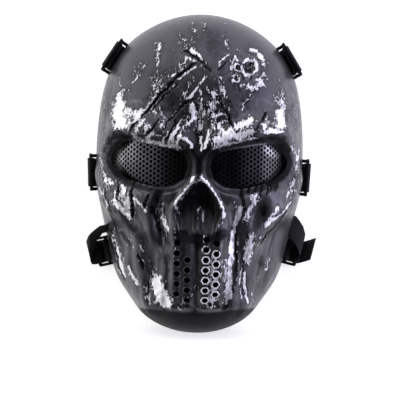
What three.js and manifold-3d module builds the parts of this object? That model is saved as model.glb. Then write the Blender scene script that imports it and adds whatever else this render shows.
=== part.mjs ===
// A skull-faced mask that covers the whole face: a hard shell with perforated eye screens, hexagonal
// mouth vents and elastic straps. It lies on its open back with the face up.
// X runs across the face, Y from the chin to the crown and Z up from the table. Lengths are millimetres.
// The origin is the middle of the open back, in the plane of the rim.
import * as THREE from "three";
import { mergeVertices } from "three/addons/utils/BufferGeometryUtils.js";
import Module from "manifold-3d";

const wasm = await Module();
wasm.setup();

// The shell.
const MASK_HEIGHT = 280;
const MASK_WIDTH = 182;
const DOME_DEPTH = 98;
const WALL = 3;
const CLEARANCE = 0.3;

// Depths and heights of the modelled face, measured from the smooth dome.
const FOLD_RISE = 10;
const SOCKET_DEPTH = 7;
const SOCKET_WALL = 6;
const SOCKET_OUTER_WALL = 10;
const NOSE_DEPTH = 15;
const NOSE_EDGE = 4.5;
const NOSE_RIM = 2.5;
const MUZZLE_RISE = 4;
const MUZZLE_EDGE = 6;
const HOLLOW_SPREAD = 4;

// The eye screens.
const SCREEN_THICKNESS = 1;
const SCREEN_FLANGE = 3.5;
const SCREEN_HOLE = 4.2;
const SCREEN_PITCH = 8.2;
const SCREEN_MARGIN = 1;

// The mouth vents.
const VENT_HOLE = 5;
const VENT_PITCH = 8.63;
const VENT_TOP = -59.7;
const VENT_ROWS = 6;

// The head straps and the loops that hook them to the shell.
const HEAD_WEBBING = 25;
const WEBBING_THICKNESS = 1.2;
const LOOP_SIDE = 3.5;
const LOOP_HEIGHT = 21;
const LOOP_BAR = 2.5;
const STRAP_BAR = 1.8;
const LOOP_LIFT = 18;
const LOOP_OUT = 3.9;
const LOOP_CORNER = 2;
const PRONG_THICKNESS = 2.5;
const PRONG_LIP = 5;
const PRONG_REACH = 4;
const STRAP_TAIL = 17;
const STRAP_BEND = 3.2;
const ARCH_HEIGHT = 2.8;
const ARCH_SPARE = 1.5;
const HEAD_STRAP_INSIDE = 9;
const SEAM_ASIDE = 15.5;
const SEAM_OVERLAP = 7.5;
const SEAM_RAMP = 11;
const SEAM_REACH = 29;

// The jaw straps and their ladder buckles.
const JAW_WEBBING = 20;
const BUCKLE_BAR = 3;
const BUCKLE_SIDE = 2.5;
const BUCKLE_WINDOW = 6;
const BUCKLE_OUT = 1.5;
const NECK_BEND = 2;
const NECK_STRAP_INSIDE = 17;
const NECK_TAIL_REACH = 22.5;
const NECK_TAIL_LIFT = 12;
const NECK_TAIL_SHIFT = 6;
const JAW_ARCH_HEIGHT = 11.5;

const HALF_WIDTH = MASK_WIDTH / 2;
const HALF_HEIGHT = MASK_HEIGHT / 2;
const RIM_BAND = 0.3;
const TABLE_DROP = 6;
const EYE_CUT_BOTTOM = DOME_DEPTH / 5;
const TALL = DOME_DEPTH * 2;
const FLOOR_LAYER = WEBBING_THICKNESS / 2;
const NEXT_LAYER = WEBBING_THICKNESS + CLEARANCE;

// The outline seen from the front. up is a share of half the height, breadth the width there against
// an ellipse's, and fullness how squarely the wall turns from the face to the side.
const OUTLINE = [
  { up: -1.0, breadth: 1.2, fullness: 2.5 },
  { up: -0.9, breadth: 1.11, fullness: 2.4 },
  { up: -0.8, breadth: 1.03, fullness: 2.25 },
  { up: -0.65, breadth: 1.01, fullness: 2.15 },
  { up: -0.45, breadth: 0.967, fullness: 2.15 },
  { up: -0.3, breadth: 0.96, fullness: 2.2 },
  { up: -0.12, breadth: 0.984, fullness: 2.3 },
  { up: 0.08, breadth: 1.0, fullness: 2.4 },
  { up: 0.3, breadth: 1.035, fullness: 2.35 },
  { up: 0.5, breadth: 1.095, fullness: 2.3 },
  { up: 0.7, breadth: 1.17, fullness: 2.25 },
  { up: 0.85, breadth: 1.205, fullness: 2.25 },
  { up: 1.0, breadth: 1.2, fullness: 2.25 },
];

// The outline of the right eye opening, from its outer end and back over the brow side. across is a
// share of half the width and up of half the height.
const EYE = [
  { across: 0.8, up: 0.061 },
  { across: 0.767, up: 0.124 },
  { across: 0.67, up: 0.18 },
  { across: 0.55, up: 0.172 },
  { across: 0.41, up: 0.154 },
  { across: 0.27, up: 0.135 },
  { across: 0.155, up: 0.108 },
  { across: 0.118, up: 0.046 },
  { across: 0.125, up: -0.006 },
  { across: 0.17, up: -0.053 },
  { across: 0.25, up: -0.088 },
  { across: 0.37, up: -0.096 },
  { across: 0.48, up: -0.085 },
  { across: 0.6, up: -0.06 },
  { across: 0.71, up: -0.022 },
];

// The nose cavity, from its top down: half its width, as a share of half the mask's, and its depth.
const NOSE = [
  { down: 0.03, half: 0.0, depth: 0.5 },
  { down: 0.07, half: 0.06, depth: 0.9 },
  { down: 0.14, half: 0.148, depth: 1.0 },
  { down: 0.21, half: 0.214, depth: 0.9 },
  { down: 0.26, half: 0.22, depth: 0.72 },
  { down: 0.32, half: 0.187, depth: 0.45 },
  { down: 0.42, half: 0.165, depth: 0.0 },
];
const NOSE_RIM_END = 0.3;

// Ridges and hollows of the face, each a straight stroke from one end to the other. Positions are shares
// of half the width and half the height, width of half the width, and rise of FOLD_RISE. A fold with
// both set is repeated on the other side.
const FOLDS = [
  { name: "outer brow", x0: 0.76, y0: 0.24, x1: 0.5, y1: 0.25, width: 0.12, rise: 0.55, both: true },
  { name: "inner brow", x0: 0.5, y0: 0.25, x1: 0.13, y1: 0.17, width: 0.11, rise: 0.65, both: true },
  { name: "brow crease", x0: 0.0, y0: 0.34, x1: 0.0, y1: 0.13, width: 0.05, rise: -0.45 },
  { name: "nose bridge", x0: 0.0, y0: 0.1, x1: 0.0, y1: -0.02, width: 0.1, rise: 0.85 },
  { name: "cheekbone", x0: 0.92, y0: -0.03, x1: 0.72, y1: -0.22, width: 0.12, rise: 0.5, both: true },
  { name: "lower cheekbone", x0: 0.72, y0: -0.22, x1: 0.52, y1: -0.38, width: 0.1, rise: 0.4, both: true },
  { name: "under eye", x0: 0.34, y0: -0.16, x1: 0.66, y1: -0.12, width: 0.1, rise: 0.3, both: true },
  { name: "cheek hollow", x0: 0.8, y0: -0.36, x1: 0.58, y1: -0.68, width: 0.12, rise: -0.5, both: true },
  { name: "mouth furrow", x0: 0.33, y0: -0.24, x1: 0.42, y1: -0.72, width: 0.07, rise: -0.4, both: true },
  { name: "jaw", x0: 0.66, y0: -0.58, x1: 0.42, y1: -0.84, width: 0.12, rise: 0.3, both: true },
  { name: "temple hollow", x0: 0.86, y0: 0.38, x1: 0.9, y1: 0.56, width: 0.14, rise: -0.3, both: true },
  { name: "lip line", x0: 0.0, y0: -0.44, x1: 0.0, y1: -0.8, width: 0.05, rise: -0.3 },
  { name: "chin", x0: -0.12, y0: -0.93, x1: 0.12, y1: -0.93, width: 0.18, rise: 0.3 },
];
const MUZZLE = { half: 0.27, top: -0.36, bottom: -0.84 };

// The upright rows of mouth vents on each side of the lip line. offset counts pitches from the middle,
// lower is how far a row lies below VENT_TOP, in pitches, and first is the number of its first vent.
const VENT_COLUMNS = [
  { offset: -1.89, lower: 0, first: 0 },
  { offset: -0.89, lower: 0.62, first: 1 },
  { offset: 0.89, lower: 0.62, first: -1 },
  { offset: 1.89, lower: 0, first: 0 },
];

// Where the straps meet the shell's outline, as shares of half the height.
const TEMPLE_UP = -0.01;
const CROWN_UP = 0.709;
const BUCKLE_UPS = { left: -0.495, right: -0.46 };

// The webbing tabs from the jaw buckles to the shell's slots. A tab bows out by reach, and its slot lies
// shift nearer the crown and lift above the buckle, with the webbing turned there by turn degrees.
// Each row of steps holds shares of them, on the way from the buckle to the slot.
const JAW_TABS = [
  {
    side: -1,
    name: "jaw_tab_left",
    reach: 17.4,
    shift: 19,
    lift: 13.4,
    turn: 72,
    steps: [
      { out: 0.83, shift: 0, lift: 0.25, turn: 0 },
      { out: 0.99, shift: 0.03, lift: 0.42, turn: 0.07 },
      { out: 1, shift: 0.13, lift: 0.64, turn: 0.22 },
      { out: 0.84, shift: 0.42, lift: 0.87, turn: 0.58 },
      { out: 0.55, shift: 0.74, lift: 0.97, turn: 0.89 },
      { out: 0.17, shift: 0.97, lift: 1, turn: 1 },
      { out: -0.46, shift: 1, lift: 1, turn: 1 },
    ],
  },
  {
    side: 1,
    name: "jaw_tab_right",
    reach: 13,
    shift: 20,
    lift: 12.8,
    turn: 0,
    steps: [
      { out: 1, shift: 0.1, lift: 0.31, turn: 0 },
      { out: 0.97, shift: 0.35, lift: 0.58, turn: 0 },
      { out: 0.72, shift: 0.63, lift: 0.81, turn: 0 },
      { out: 0.35, shift: 0.85, lift: 0.95, turn: 0 },
      { out: 0.08, shift: 0.98, lift: 1, turn: 0 },
      { out: -0.62, shift: 1, lift: 1, turn: 0 },
    ],
  },
];

// The part of the dome's square that holds the right eye screen.
const SCREEN_AREA = { inner: -0.03, outer: 0.7, bottom: -0.17, top: 0.28 };

// Where the sockets' walls begin to lean out, and over what width, as shares of half the width.
const SOCKET_LEAN = { from: 0.66, over: 0.14 };

// How much of the neck strap's tail sticks out of each buckle, and how it rises and turns aside towards
// the crown, from its free end in.
const NECK_TAILS = { left: 0.25, right: 1 };
const TAIL_RISE = [
  { out: 1, lift: 1, shift: 1 },
  { out: 0.5, lift: 0.36, shift: 0.45 },
  { out: 0, lift: 0, shift: 0 },
];

// How finely the curved walls are divided.
const OUTER_CELLS = {
  across: { count: 40, low: -0.72, high: 0.72, dense: 34 },
  up: { count: 47, low: -0.34, high: 0.28, dense: 27 },
};
const INNER_CELLS = {
  across: { count: 24, low: -0.72, high: 0.72, dense: 18 },
  up: { count: 25, low: -0.36, high: 0.26, dense: 13 },
};
const SCREEN_CELLS = { across: 10, up: 4 };
const EYE_POINTS = 27;
const FOLD_STEPS = 5;

const MATERIALS = {
  shell: new THREE.MeshStandardMaterial({ color: 0x3d3d41, roughness: 0.42, metalness: 0.35 }),
  screen: new THREE.MeshStandardMaterial({ color: 0x1b1b1d, roughness: 0.4, metalness: 0.7 }),
  webbing: new THREE.MeshStandardMaterial({ color: 0x141417, roughness: 0.9, metalness: 0 }),
  plastic: new THREE.MeshStandardMaterial({ color: 0x101012, roughness: 0.45, metalness: 0 }),
};

function clamp(value, low, high) {
  return Math.min(Math.max(value, low), high);
}

function smooth(share) {
  const t = clamp(share, 0, 1);
  return t * t * (3 - 2 * t);
}

// Reads a column of a table anywhere between its rows, on a smooth curve through them.
function readTable(rows, key, at, column) {
  const last = rows.length - 1;
  let i = 0;
  while (i < last - 1 && rows[i + 1][key] < at) i += 1;
  const slope = (row) => {
    const before = rows[Math.max(row - 1, 0)];
    const after = rows[Math.min(row + 1, last)];
    return (after[column] - before[column]) / (after[key] - before[key]);
  };
  const span = rows[i + 1][key] - rows[i][key];
  const t = clamp((at - rows[i][key]) / span, 0, 1);
  const back = 1 - t;
  return (
    rows[i][column] * (1 + 2 * t) * back * back +
    slope(i) * span * t * back * back +
    rows[i + 1][column] * (3 - 2 * t) * t * t -
    slope(i + 1) * span * back * t * t
  );
}

// The closed outline of an eye opening, as points in the front view. side is 1 on the right.
function eyePoints(side) {
  const corners = EYE.map(
    (row) => new THREE.Vector3(side * row.across * HALF_WIDTH, row.up * HALF_HEIGHT, 0),
  );
  const curve = new THREE.CatmullRomCurve3(corners, true);
  return curve.getPoints(EYE_POINTS).slice(0, EYE_POINTS);
}

const RIGHT_EYE = eyePoints(1);

// How far a point of the front view lies outside a closed outline. It is negative inside.
function outsideBy(outline, x, y) {
  let nearest = Infinity;
  let inside = false;
  outline.forEach((a, i) => {
    const b = outline[(i + 1) % outline.length];
    const along = ((x - a.x) * (b.x - a.x) + (y - a.y) * (b.y - a.y)) / a.distanceToSquared(b);
    const t = clamp(along, 0, 1);
    nearest = Math.min(nearest, Math.hypot(x - a.x - t * (b.x - a.x), y - a.y - t * (b.y - a.y)));
    if (a.y > y !== b.y > y && x < a.x + ((y - a.y) * (b.x - a.x)) / (b.y - a.y)) inside = !inside;
  });
  return inside ? -nearest : nearest;
}

// The rise of one straight fold at a point of the front view.
function foldRise(fold, side, x, y) {
  const from = new THREE.Vector2(side * fold.x0 * HALF_WIDTH, fold.y0 * HALF_HEIGHT);
  const to = new THREE.Vector2(side * fold.x1 * HALF_WIDTH, fold.y1 * HALF_HEIGHT);
  const run = to.clone().sub(from);
  const here = new THREE.Vector2(x, y).sub(from);
  const nearest = run.multiplyScalar(clamp(here.dot(run) / run.lengthSq(), 0, 1));
  const spread = here.distanceTo(nearest) / (fold.width * HALF_WIDTH);
  return FOLD_RISE * fold.rise * Math.exp(-spread * spread);
}

// The nose cavity: a recess that runs out towards the mouth, made larger all round by spread.
function noseRecess(x, y, spread) {
  const bottom = NOSE[NOSE.length - 1].down;
  const down = (bottom * -y) / (bottom * HALF_HEIGHT + spread);
  const start = NOSE[0].down - spread / HALF_HEIGHT;
  if (down <= start || down >= bottom) return 0;
  const half = readTable(NOSE, "down", down, "half") * HALF_WIDTH;
  const inside = half + spread * smooth((down - start) / NOSE[0].down) - Math.abs(x);
  return NOSE_DEPTH * readTable(NOSE, "down", down, "depth") * smooth(inside / NOSE_EDGE);
}

// The raised rim along the sides of the nose cavity.
function noseRim(x, y) {
  const down = -y / HALF_HEIGHT;
  if (down <= NOSE[0].down || down >= NOSE_RIM_END) return 0;
  const inside = readTable(NOSE, "down", down, "half") * HALF_WIDTH - Math.abs(x);
  const fade = smooth((NOSE_RIM_END - down) / (NOSE_RIM_END - NOSE[3].down));
  return NOSE_RIM * fade * Math.exp(-((inside / NOSE_RIM) ** 2));
}

// The raised block round the mouth vents.
function muzzleRise(x, y) {
  const beside = MUZZLE.half * HALF_WIDTH - Math.abs(x);
  const below = MUZZLE.top * HALF_HEIGHT - y;
  const above = y - MUZZLE.bottom * HALF_HEIGHT;
  return (
    MUZZLE_RISE *
    smooth(beside / MUZZLE_EDGE) *
    smooth(below / (2 * MUZZLE_EDGE)) *
    smooth(above / MUZZLE_EDGE)
  );
}

// How deep a point of the front view lies in an eye socket, from 0 to 1, with the sockets made larger by spread.
function socketShare(x, y, spread) {
  const outside = outsideBy(RIGHT_EYE, Math.abs(x), y);
  const outer = smooth((Math.abs(x) / HALF_WIDTH - SOCKET_LEAN.from) / SOCKET_LEAN.over);
  const slope = SOCKET_WALL + (SOCKET_OUTER_WALL - SOCKET_WALL) * outer;
  return smooth(1 - (outside - SCREEN_MARGIN - spread) / slope);
}

function foldsRise(x, y) {
  let rise = 0;
  for (const fold of FOLDS) {
    rise += foldRise(fold, 1, x, y);
    if (fold.both) rise += foldRise(fold, -1, x, y);
  }
  return rise;
}

// How far the modelled face stands out from the smooth dome, at a point of the front view.
function faceRise(x, y) {
  const rise = foldsRise(x, y) + muzzleRise(x, y) + noseRim(x, y) - noseRecess(x, y, 0);
  const socket = socketShare(x, y, 0);
  return rise * (1 - socket) - SOCKET_DEPTH * socket;
}

// The same for the inside of the shell, which follows only what sinks in, in wider forms.
function hollowRise(x, y) {
  const rise = Math.min(foldsRise(x, y), 0) - noseRecess(x, y, HOLLOW_SPREAD);
  const socket = socketShare(x, y, HOLLOW_SPREAD);
  return rise * (1 - socket) - SOCKET_DEPTH * socket;
}

// A point of the smooth dome and its outward direction. p and q run over a unit disc seen from the front.
function domePoint(p, q) {
  const radius = Math.hypot(p, q);
  const across = radius > 0 ? p / radius : 1;
  const up = radius > 0 ? q / radius : 0;
  const wide = HALF_WIDTH * readTable(OUTLINE, "up", up, "breadth");
  const fullness = readTable(OUTLINE, "up", up, "fullness");
  const turn = (Math.min(radius, 1) * Math.PI) / 2;
  const reach = Math.sin(turn) ** (2 / fullness);
  const rise = radius > 0.9999 ? 0 : Math.cos(turn) ** (2 / fullness);
  const bulge = reach ** (fullness - 1);
  return {
    radius: Math.min(radius, 1),
    point: new THREE.Vector3(wide * across * reach, HALF_HEIGHT * up * reach, DOME_DEPTH * rise),
    outward: new THREE.Vector3(
      (across / wide) * bulge,
      (up / HALF_HEIGHT) * bulge,
      rise ** (fullness - 1) / DOME_DEPTH,
    ).normalize(),
  };
}

// A point of the face, set in from its outer skin. u and v run over a square that fills the outline.
function facePoint(u, v, inset, riseAt) {
  const dome = domePoint(u * Math.sqrt(1 - (v * v) / 2), v * Math.sqrt(1 - (u * u) / 2));
  const rise = riseAt(dome.point.x, dome.point.y) * smooth((1 - dome.radius) / RIM_BAND);
  return dome.point.addScaledVector(dome.outward, rise - inset);
}

// Places of the grid lines from -1 to 1, dense between low and high, where the face has most relief.
function gridLines({ count, low, high, dense }) {
  const before = Math.round(((count - dense) * (1 + low)) / (2 + low - high));
  const spans = [
    { from: -1, to: low, cells: before },
    { from: low, to: high, cells: dense },
    { from: high, to: 1, cells: count - dense - before },
  ];
  const lines = spans.flatMap(({ from, to, cells }) =>
    Array.from({ length: cells }, (_, k) => from + ((to - from) * k) / cells),
  );
  return [...lines, 1];
}

function geometryOf(vertices, triangles) {
  const geometry = new THREE.BufferGeometry();
  geometry.setAttribute(
    "position",
    new THREE.Float32BufferAttribute(vertices.flatMap((vertex) => vertex.toArray()), 3),
  );
  geometry.setIndex(triangles.flat());
  return geometry;
}

// A closed three.js geometry as a solid that can be cut and joined.
function solidOf(geometry) {
  const bare = geometry.clone();
  bare.deleteAttribute("normal");
  bare.deleteAttribute("uv");
  const merged = mergeVertices(bare, 1e-4);
  return new wasm.Manifold(
    new wasm.Mesh({
      numProp: 3,
      vertProperties: new Float32Array(merged.attributes.position.array),
      triVerts: new Uint32Array(merged.index.array),
    }),
  );
}

function geometryOfSolid(solid) {
  const mesh = solid.getMesh();
  const geometry = new THREE.BufferGeometry();
  geometry.setAttribute("position", new THREE.BufferAttribute(new Float32Array(mesh.vertProperties), 3));
  geometry.setIndex(new THREE.BufferAttribute(new Uint32Array(mesh.triVerts), 1));
  return geometry;
}

// Two triangles of one grid cell. The diagonal always runs away from the middle of the face.
function cellTriangles(a, b, c, d, outwardDiagonal) {
  return outwardDiagonal
    ? [[a, b, c], [a, c, d]]
    : [[a, b, d], [b, c, d]];
}

// The dome as one closed solid that stands on its rim, or reaches below the table by drop.
function domeSolid(cells, inset, riseAt, drop) {
  const vertices = [];
  const triangles = [];
  const across = gridLines(cells.across);
  const upward = gridLines(cells.up);
  const right = across.length - 1;
  const top = upward.length - 1;
  const at = (i, j) => j * across.length + i;
  for (const v of upward) {
    for (const u of across) vertices.push(facePoint(u, v, inset, riseAt));
  }
  for (let j = 0; j < top; j += 1) {
    for (let i = 0; i < right; i += 1) {
      const outward = across[i] < 0 === upward[j] < 0;
      triangles.push(
        ...cellTriangles(at(i, j), at(i + 1, j), at(i + 1, j + 1), at(i, j + 1), outward),
      );
    }
  }
  const rim = [];
  for (let i = 0; i < right; i += 1) rim.push(at(i, 0));
  for (let j = 0; j < top; j += 1) rim.push(at(right, j));
  for (let i = right; i > 0; i -= 1) rim.push(at(i, top));
  for (let j = top; j > 0; j -= 1) rim.push(at(0, j));
  let foot = rim;
  if (drop > 0) {
    foot = rim.map((index) => vertices.push(vertices[index].clone().setZ(-drop)) - 1);
    rim.forEach((index, k) => {
      const next = (k + 1) % rim.length;
      triangles.push([index, foot[k], rim[next]], [rim[next], foot[k], foot[next]]);
    });
  }
  const middle = vertices.push(new THREE.Vector3(0, 0, -drop)) - 1;
  foot.forEach((index, k) => triangles.push([index, middle, foot[(k + 1) % foot.length]]));
  return solidOf(geometryOf(vertices, triangles));
}

// A patch of wall between two depths below the face's skin, over part of the u, v square.
function wallPatch(area, cells, shallow, deep, riseAt) {
  const vertices = [];
  const triangles = [];
  const row = cells.across + 1;
  const sheet = row * (cells.up + 1);
  for (const inset of [shallow, deep]) {
    for (let j = 0; j <= cells.up; j += 1) {
      for (let i = 0; i <= cells.across; i += 1) {
        const u = area.left + ((area.right - area.left) * i) / cells.across;
        const v = area.bottom + ((area.top - area.bottom) * j) / cells.up;
        vertices.push(facePoint(u, v, inset, riseAt));
      }
    }
  }
  for (let j = 0; j < cells.up; j += 1) {
    for (let i = 0; i < cells.across; i += 1) {
      const a = j * row + i;
      const front = cellTriangles(a, a + 1, a + 1 + row, a + row, true);
      triangles.push(...front, ...front.map(([x, y, z]) => [x + sheet, z + sheet, y + sheet]));
    }
  }
  const edge = [];
  for (let i = 0; i < cells.across; i += 1) edge.push(i);
  for (let j = 0; j < cells.up; j += 1) edge.push(j * row + cells.across);
  for (let i = cells.across; i > 0; i -= 1) edge.push(cells.up * row + i);
  for (let j = cells.up; j > 0; j -= 1) edge.push(j * row);
  edge.forEach((index, k) => {
    const next = edge[(k + 1) % edge.length];
    triangles.push([index, index + sheet, next], [next, index + sheet, next + sheet]);
  });
  return solidOf(geometryOf(vertices, triangles));
}

// An upright prism over a closed outline of the front view, moved out from it by spread.
function prismOver(outline, spread, bottom, top) {
  const shape = new THREE.Shape(
    outline.map((point, i) => {
      const before = outline[(i + outline.length - 1) % outline.length];
      const after = outline[(i + 1) % outline.length];
      const along = new THREE.Vector2(after.x - before.x, after.y - before.y).normalize();
      return new THREE.Vector2(point.x + along.y * spread, point.y - along.x * spread);
    }),
  );
  const geometry = new THREE.ExtrudeGeometry(shape, { depth: top - bottom, bevelEnabled: false });
  return solidOf(geometry.translate(0, 0, bottom));
}

// A hexagonal hole's cutter. across is its width between flats.
function hexagonOver(x, y, across, bottom, top) {
  const corner = across / 2 / Math.cos(Math.PI / 6);
  const geometry = new THREE.CylinderGeometry(corner, corner, top - bottom, 6, 1);
  return solidOf(geometry.rotateX(Math.PI / 2).translate(x, y, (top + bottom) / 2));
}

function boxBetween(low, high) {
  const size = high.clone().sub(low);
  const middle = high.clone().add(low).multiplyScalar(0.5);
  return new THREE.BoxGeometry(size.x, size.y, size.z).translate(middle.x, middle.y, middle.z);
}

// The place on the shell's outline at a height, with the directions out from it and up the face.
function outlineFrame(up, side) {
  const edge = (at) => {
    const across = Math.sqrt(1 - at * at);
    const wide = HALF_WIDTH * readTable(OUTLINE, "up", at, "breadth");
    return new THREE.Vector3(side * wide * across, at * HALF_HEIGHT, 0);
  };
  const step = 0.01;
  const upward = edge(up + step).sub(edge(up - step)).normalize();
  return {
    foot: edge(up),
    upward,
    outward: new THREE.Vector3(upward.y * side, -upward.x * side, 0),
  };
}

// The same place as a matrix: X out from the shell, Y along its outline and Z up from the table.
function outlineMatrix(up, side) {
  const frame = outlineFrame(up, side);
  const along = frame.upward.clone().multiplyScalar(side);
  const matrix = new THREE.Matrix4().makeBasis(frame.outward, along, new THREE.Vector3(0, 0, 1));
  return matrix.setPosition(frame.foot);
}

// Where the jaw buckle of a side meets the outline.
function buckleUp(side) {
  return side < 0 ? BUCKLE_UPS.left : BUCKLE_UPS.right;
}

// A point beside the shell's outline: out from it, and lift above the table.
function beside(up, side, out, lift) {
  const frame = outlineFrame(up, side);
  return frame.foot.clone().addScaledVector(frame.outward, out).setZ(lift);
}

// A flat band through stations, each a point and the direction across the band there.
function bandGeometry(stations, width) {
  const vertices = [];
  const triangles = [];
  stations.forEach((station, i) => {
    const before = stations[Math.max(i - 1, 0)].point;
    const after = stations[Math.min(i + 1, stations.length - 1)].point;
    const across = station.across;
    const face = after.clone().sub(before).cross(across).normalize();
    for (const [side, layer] of [[-1, -1], [1, -1], [1, 1], [-1, 1]]) {
      vertices.push(
        station.point
          .clone()
          .addScaledVector(across, (side * width) / 2)
          .addScaledVector(face, (layer * WEBBING_THICKNESS) / 2),
      );
    }
  });
  const last = (stations.length - 1) * 4;
  triangles.push([0, 2, 1], [0, 3, 2], [last, last + 1, last + 2], [last, last + 2, last + 3]);
  for (let i = 0; i < last; i += 4) {
    for (let k = 0; k < 4; k += 1) {
      const next = (k + 1) % 4;
      triangles.push([i + k, i + next, i + next + 4], [i + k, i + next + 4, i + k + 4]);
    }
  }
  return geometryOf(vertices, triangles);
}

// Rounds a route's corners: the points of a half turn about a bar, from one angle to another.
function turnAbout(out, lift, radius, from, to) {
  return Array.from({ length: FOLD_STEPS + 1 }, (_, k) => {
    const angle = from + ((to - from) * k) / FOLD_STEPS;
    return { out: out + radius * Math.cos(angle), lift: lift + radius * Math.sin(angle) };
  });
}

// A strap turns round its loop's inner bar, close under the loop's top bar.
const LOOP_WRAP = STRAP_BAR / Math.SQRT2 + CLEARANCE + WEBBING_THICKNESS / 2;
const STRAP_BAR_LIFT =
  LOOP_LIFT + LOOP_HEIGHT / 2 - LOOP_BAR - CLEARANCE - LOOP_WRAP - WEBBING_THICKNESS / 2;

// The end of a head strap: its tail outside the loop, over the loop's inner bar, down and under the rim.
function headStrapEnd(up, side) {
  const inner = LOOP_OUT - LOOP_WRAP;
  const route = [
    { out: LOOP_OUT + LOOP_WRAP, lift: STRAP_BAR_LIFT - STRAP_TAIL },
    ...turnAbout(LOOP_OUT, STRAP_BAR_LIFT, LOOP_WRAP, 0, Math.PI),
    ...turnAbout(inner - STRAP_BEND, FLOOR_LAYER + STRAP_BEND, STRAP_BEND, 0, -Math.PI / 2),
    { out: -HEAD_STRAP_INSIDE, lift: FLOOR_LAYER },
  ];
  const across = outlineFrame(up, side).upward;
  return route.map((place) => ({ point: beside(up, side, place.out, place.lift), across }));
}

// The elastic strap from temple to temple, lying across the open back.
function templeStrap() {
  const right = headStrapEnd(TEMPLE_UP, 1);
  const left = headStrapEnd(TEMPLE_UP, -1).reverse();
  return bandGeometry([...right, ...left], HEAD_WEBBING);
}

// The strap from one side of the crown to the temple strap, whose middle it is sewn onto.
function crownStrap(side) {
  const end = headStrapEnd(CROWN_UP, side);
  const start = end[end.length - 1].point;
  const seam = new THREE.Vector3(side * SEAM_ASIDE, TEMPLE_UP * HALF_HEIGHT, FLOOR_LAYER);
  const run = seam.clone().sub(start).normalize();
  const across = new THREE.Vector3(-run.y, run.x, 0).multiplyScalar(-side);
  const step = (distance, lift) => ({
    point: seam.clone().addScaledVector(run, distance).setZ(lift),
    across,
  });
  const middle = {
    point: start.clone().lerp(seam, 0.3),
    across: end[0].across.clone().lerp(across, 0.5).normalize(),
  };
  const upper = FLOOR_LAYER + NEXT_LAYER;
  const hidden = [
    middle,
    step(-SEAM_REACH - SEAM_RAMP, FLOOR_LAYER),
    step(-SEAM_REACH, upper),
    step(SEAM_OVERLAP, upper),
  ];
  return bandGeometry([...end, ...hidden], HEAD_WEBBING);
}

const BUCKLE_STEP = BUCKLE_BAR + BUCKLE_WINDOW;
const BUCKLE_WRAP = BUCKLE_BAR / Math.SQRT2 + CLEARANCE + WEBBING_THICKNESS / 2;
const BUCKLE_LIFT = FLOOR_LAYER + NEXT_LAYER + BUCKLE_WRAP;

// One end of the neck strap: under the shell, up over the buckle's middle bar, and out as a tail.
function neckStrapEnd(side, tail) {
  const middle = BUCKLE_OUT;
  const up = Math.PI / 2;
  const low = FLOOR_LAYER + NECK_BEND;
  const end = middle + BUCKLE_WRAP + NECK_BEND;
  const begin = middle - BUCKLE_WRAP - NECK_BEND;
  const foot = middle + BUCKLE_STEP + BUCKLE_WRAP;
  const route = [
    ...TAIL_RISE.map((row) => ({
      out: foot + (NECK_TAIL_REACH - foot) * row.out * tail,
      lift: FLOOR_LAYER + NECK_TAIL_LIFT * row.lift * tail,
      shift: NECK_TAIL_SHIFT * row.shift * tail,
    })),
    ...turnAbout(end, low, NECK_BEND, -up, -2 * up),
    ...turnAbout(middle, BUCKLE_LIFT, BUCKLE_WRAP, 0, 2 * up),
    ...turnAbout(begin, low, NECK_BEND, 0, -up),
    { out: -NECK_STRAP_INSIDE, lift: FLOOR_LAYER },
  ];
  const across = outlineFrame(buckleUp(side), side).upward;
  return route.map(({ out, lift, shift = 0 }) => ({
    point: beside(buckleUp(side), side, out, lift).addScaledVector(across, shift),
    across,
  }));
}

function neckStrap() {
  const right = neckStrapEnd(1, NECK_TAILS.right);
  const left = neckStrapEnd(-1, NECK_TAILS.left).reverse();
  return bandGeometry([...right, ...left], JAW_WEBBING);
}

// The webbing tab that holds a jaw buckle: round its outer bar, out and back through the shell's slot.
function jawTab(tab) {
  const bar = BUCKLE_OUT + BUCKLE_STEP;
  const wrap = [
    { out: bar + BUCKLE_BAR, lift: BUCKLE_LIFT - BUCKLE_WRAP },
    ...turnAbout(bar, BUCKLE_LIFT, BUCKLE_WRAP, -Math.PI / 2, -1.5 * Math.PI),
  ];
  const stations = wrap.map((place) => ({
    point: beside(buckleUp(tab.side), tab.side, place.out, place.lift),
    across: outlineFrame(buckleUp(tab.side), tab.side).upward,
  }));
  const free = tab.steps.map((step) => {
    const up = buckleUp(tab.side) + (step.shift * tab.shift) / HALF_HEIGHT;
    const turn = THREE.MathUtils.degToRad(step.turn * tab.turn);
    return {
      point: beside(up, tab.side, step.out * tab.reach, BUCKLE_LIFT + step.lift * tab.lift),
      across: outlineFrame(up, tab.side)
        .upward.multiplyScalar(Math.cos(turn))
        .setZ(Math.sin(turn)),
    };
  });
  return bandGeometry([...stations, ...free], JAW_WEBBING);
}

// The slot through the shell for a tab's last step, as a cutter.
function tabSlot(tab) {
  const up = buckleUp(tab.side) + tab.shift / HALF_HEIGHT;
  const half = JAW_WEBBING / 2 + 5 * CLEARANCE;
  const high = WEBBING_THICKNESS / 2 + 3 * CLEARANCE;
  const slot = boxBetween(
    new THREE.Vector3(-WALL * 4, -half, -high),
    new THREE.Vector3(WALL, half, high),
  );
  slot.rotateX(tab.side * THREE.MathUtils.degToRad(tab.turn)).translate(0, 0, BUCKLE_LIFT + tab.lift);
  return solidOf(slot.applyMatrix4(outlineMatrix(up, tab.side)));
}

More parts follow.
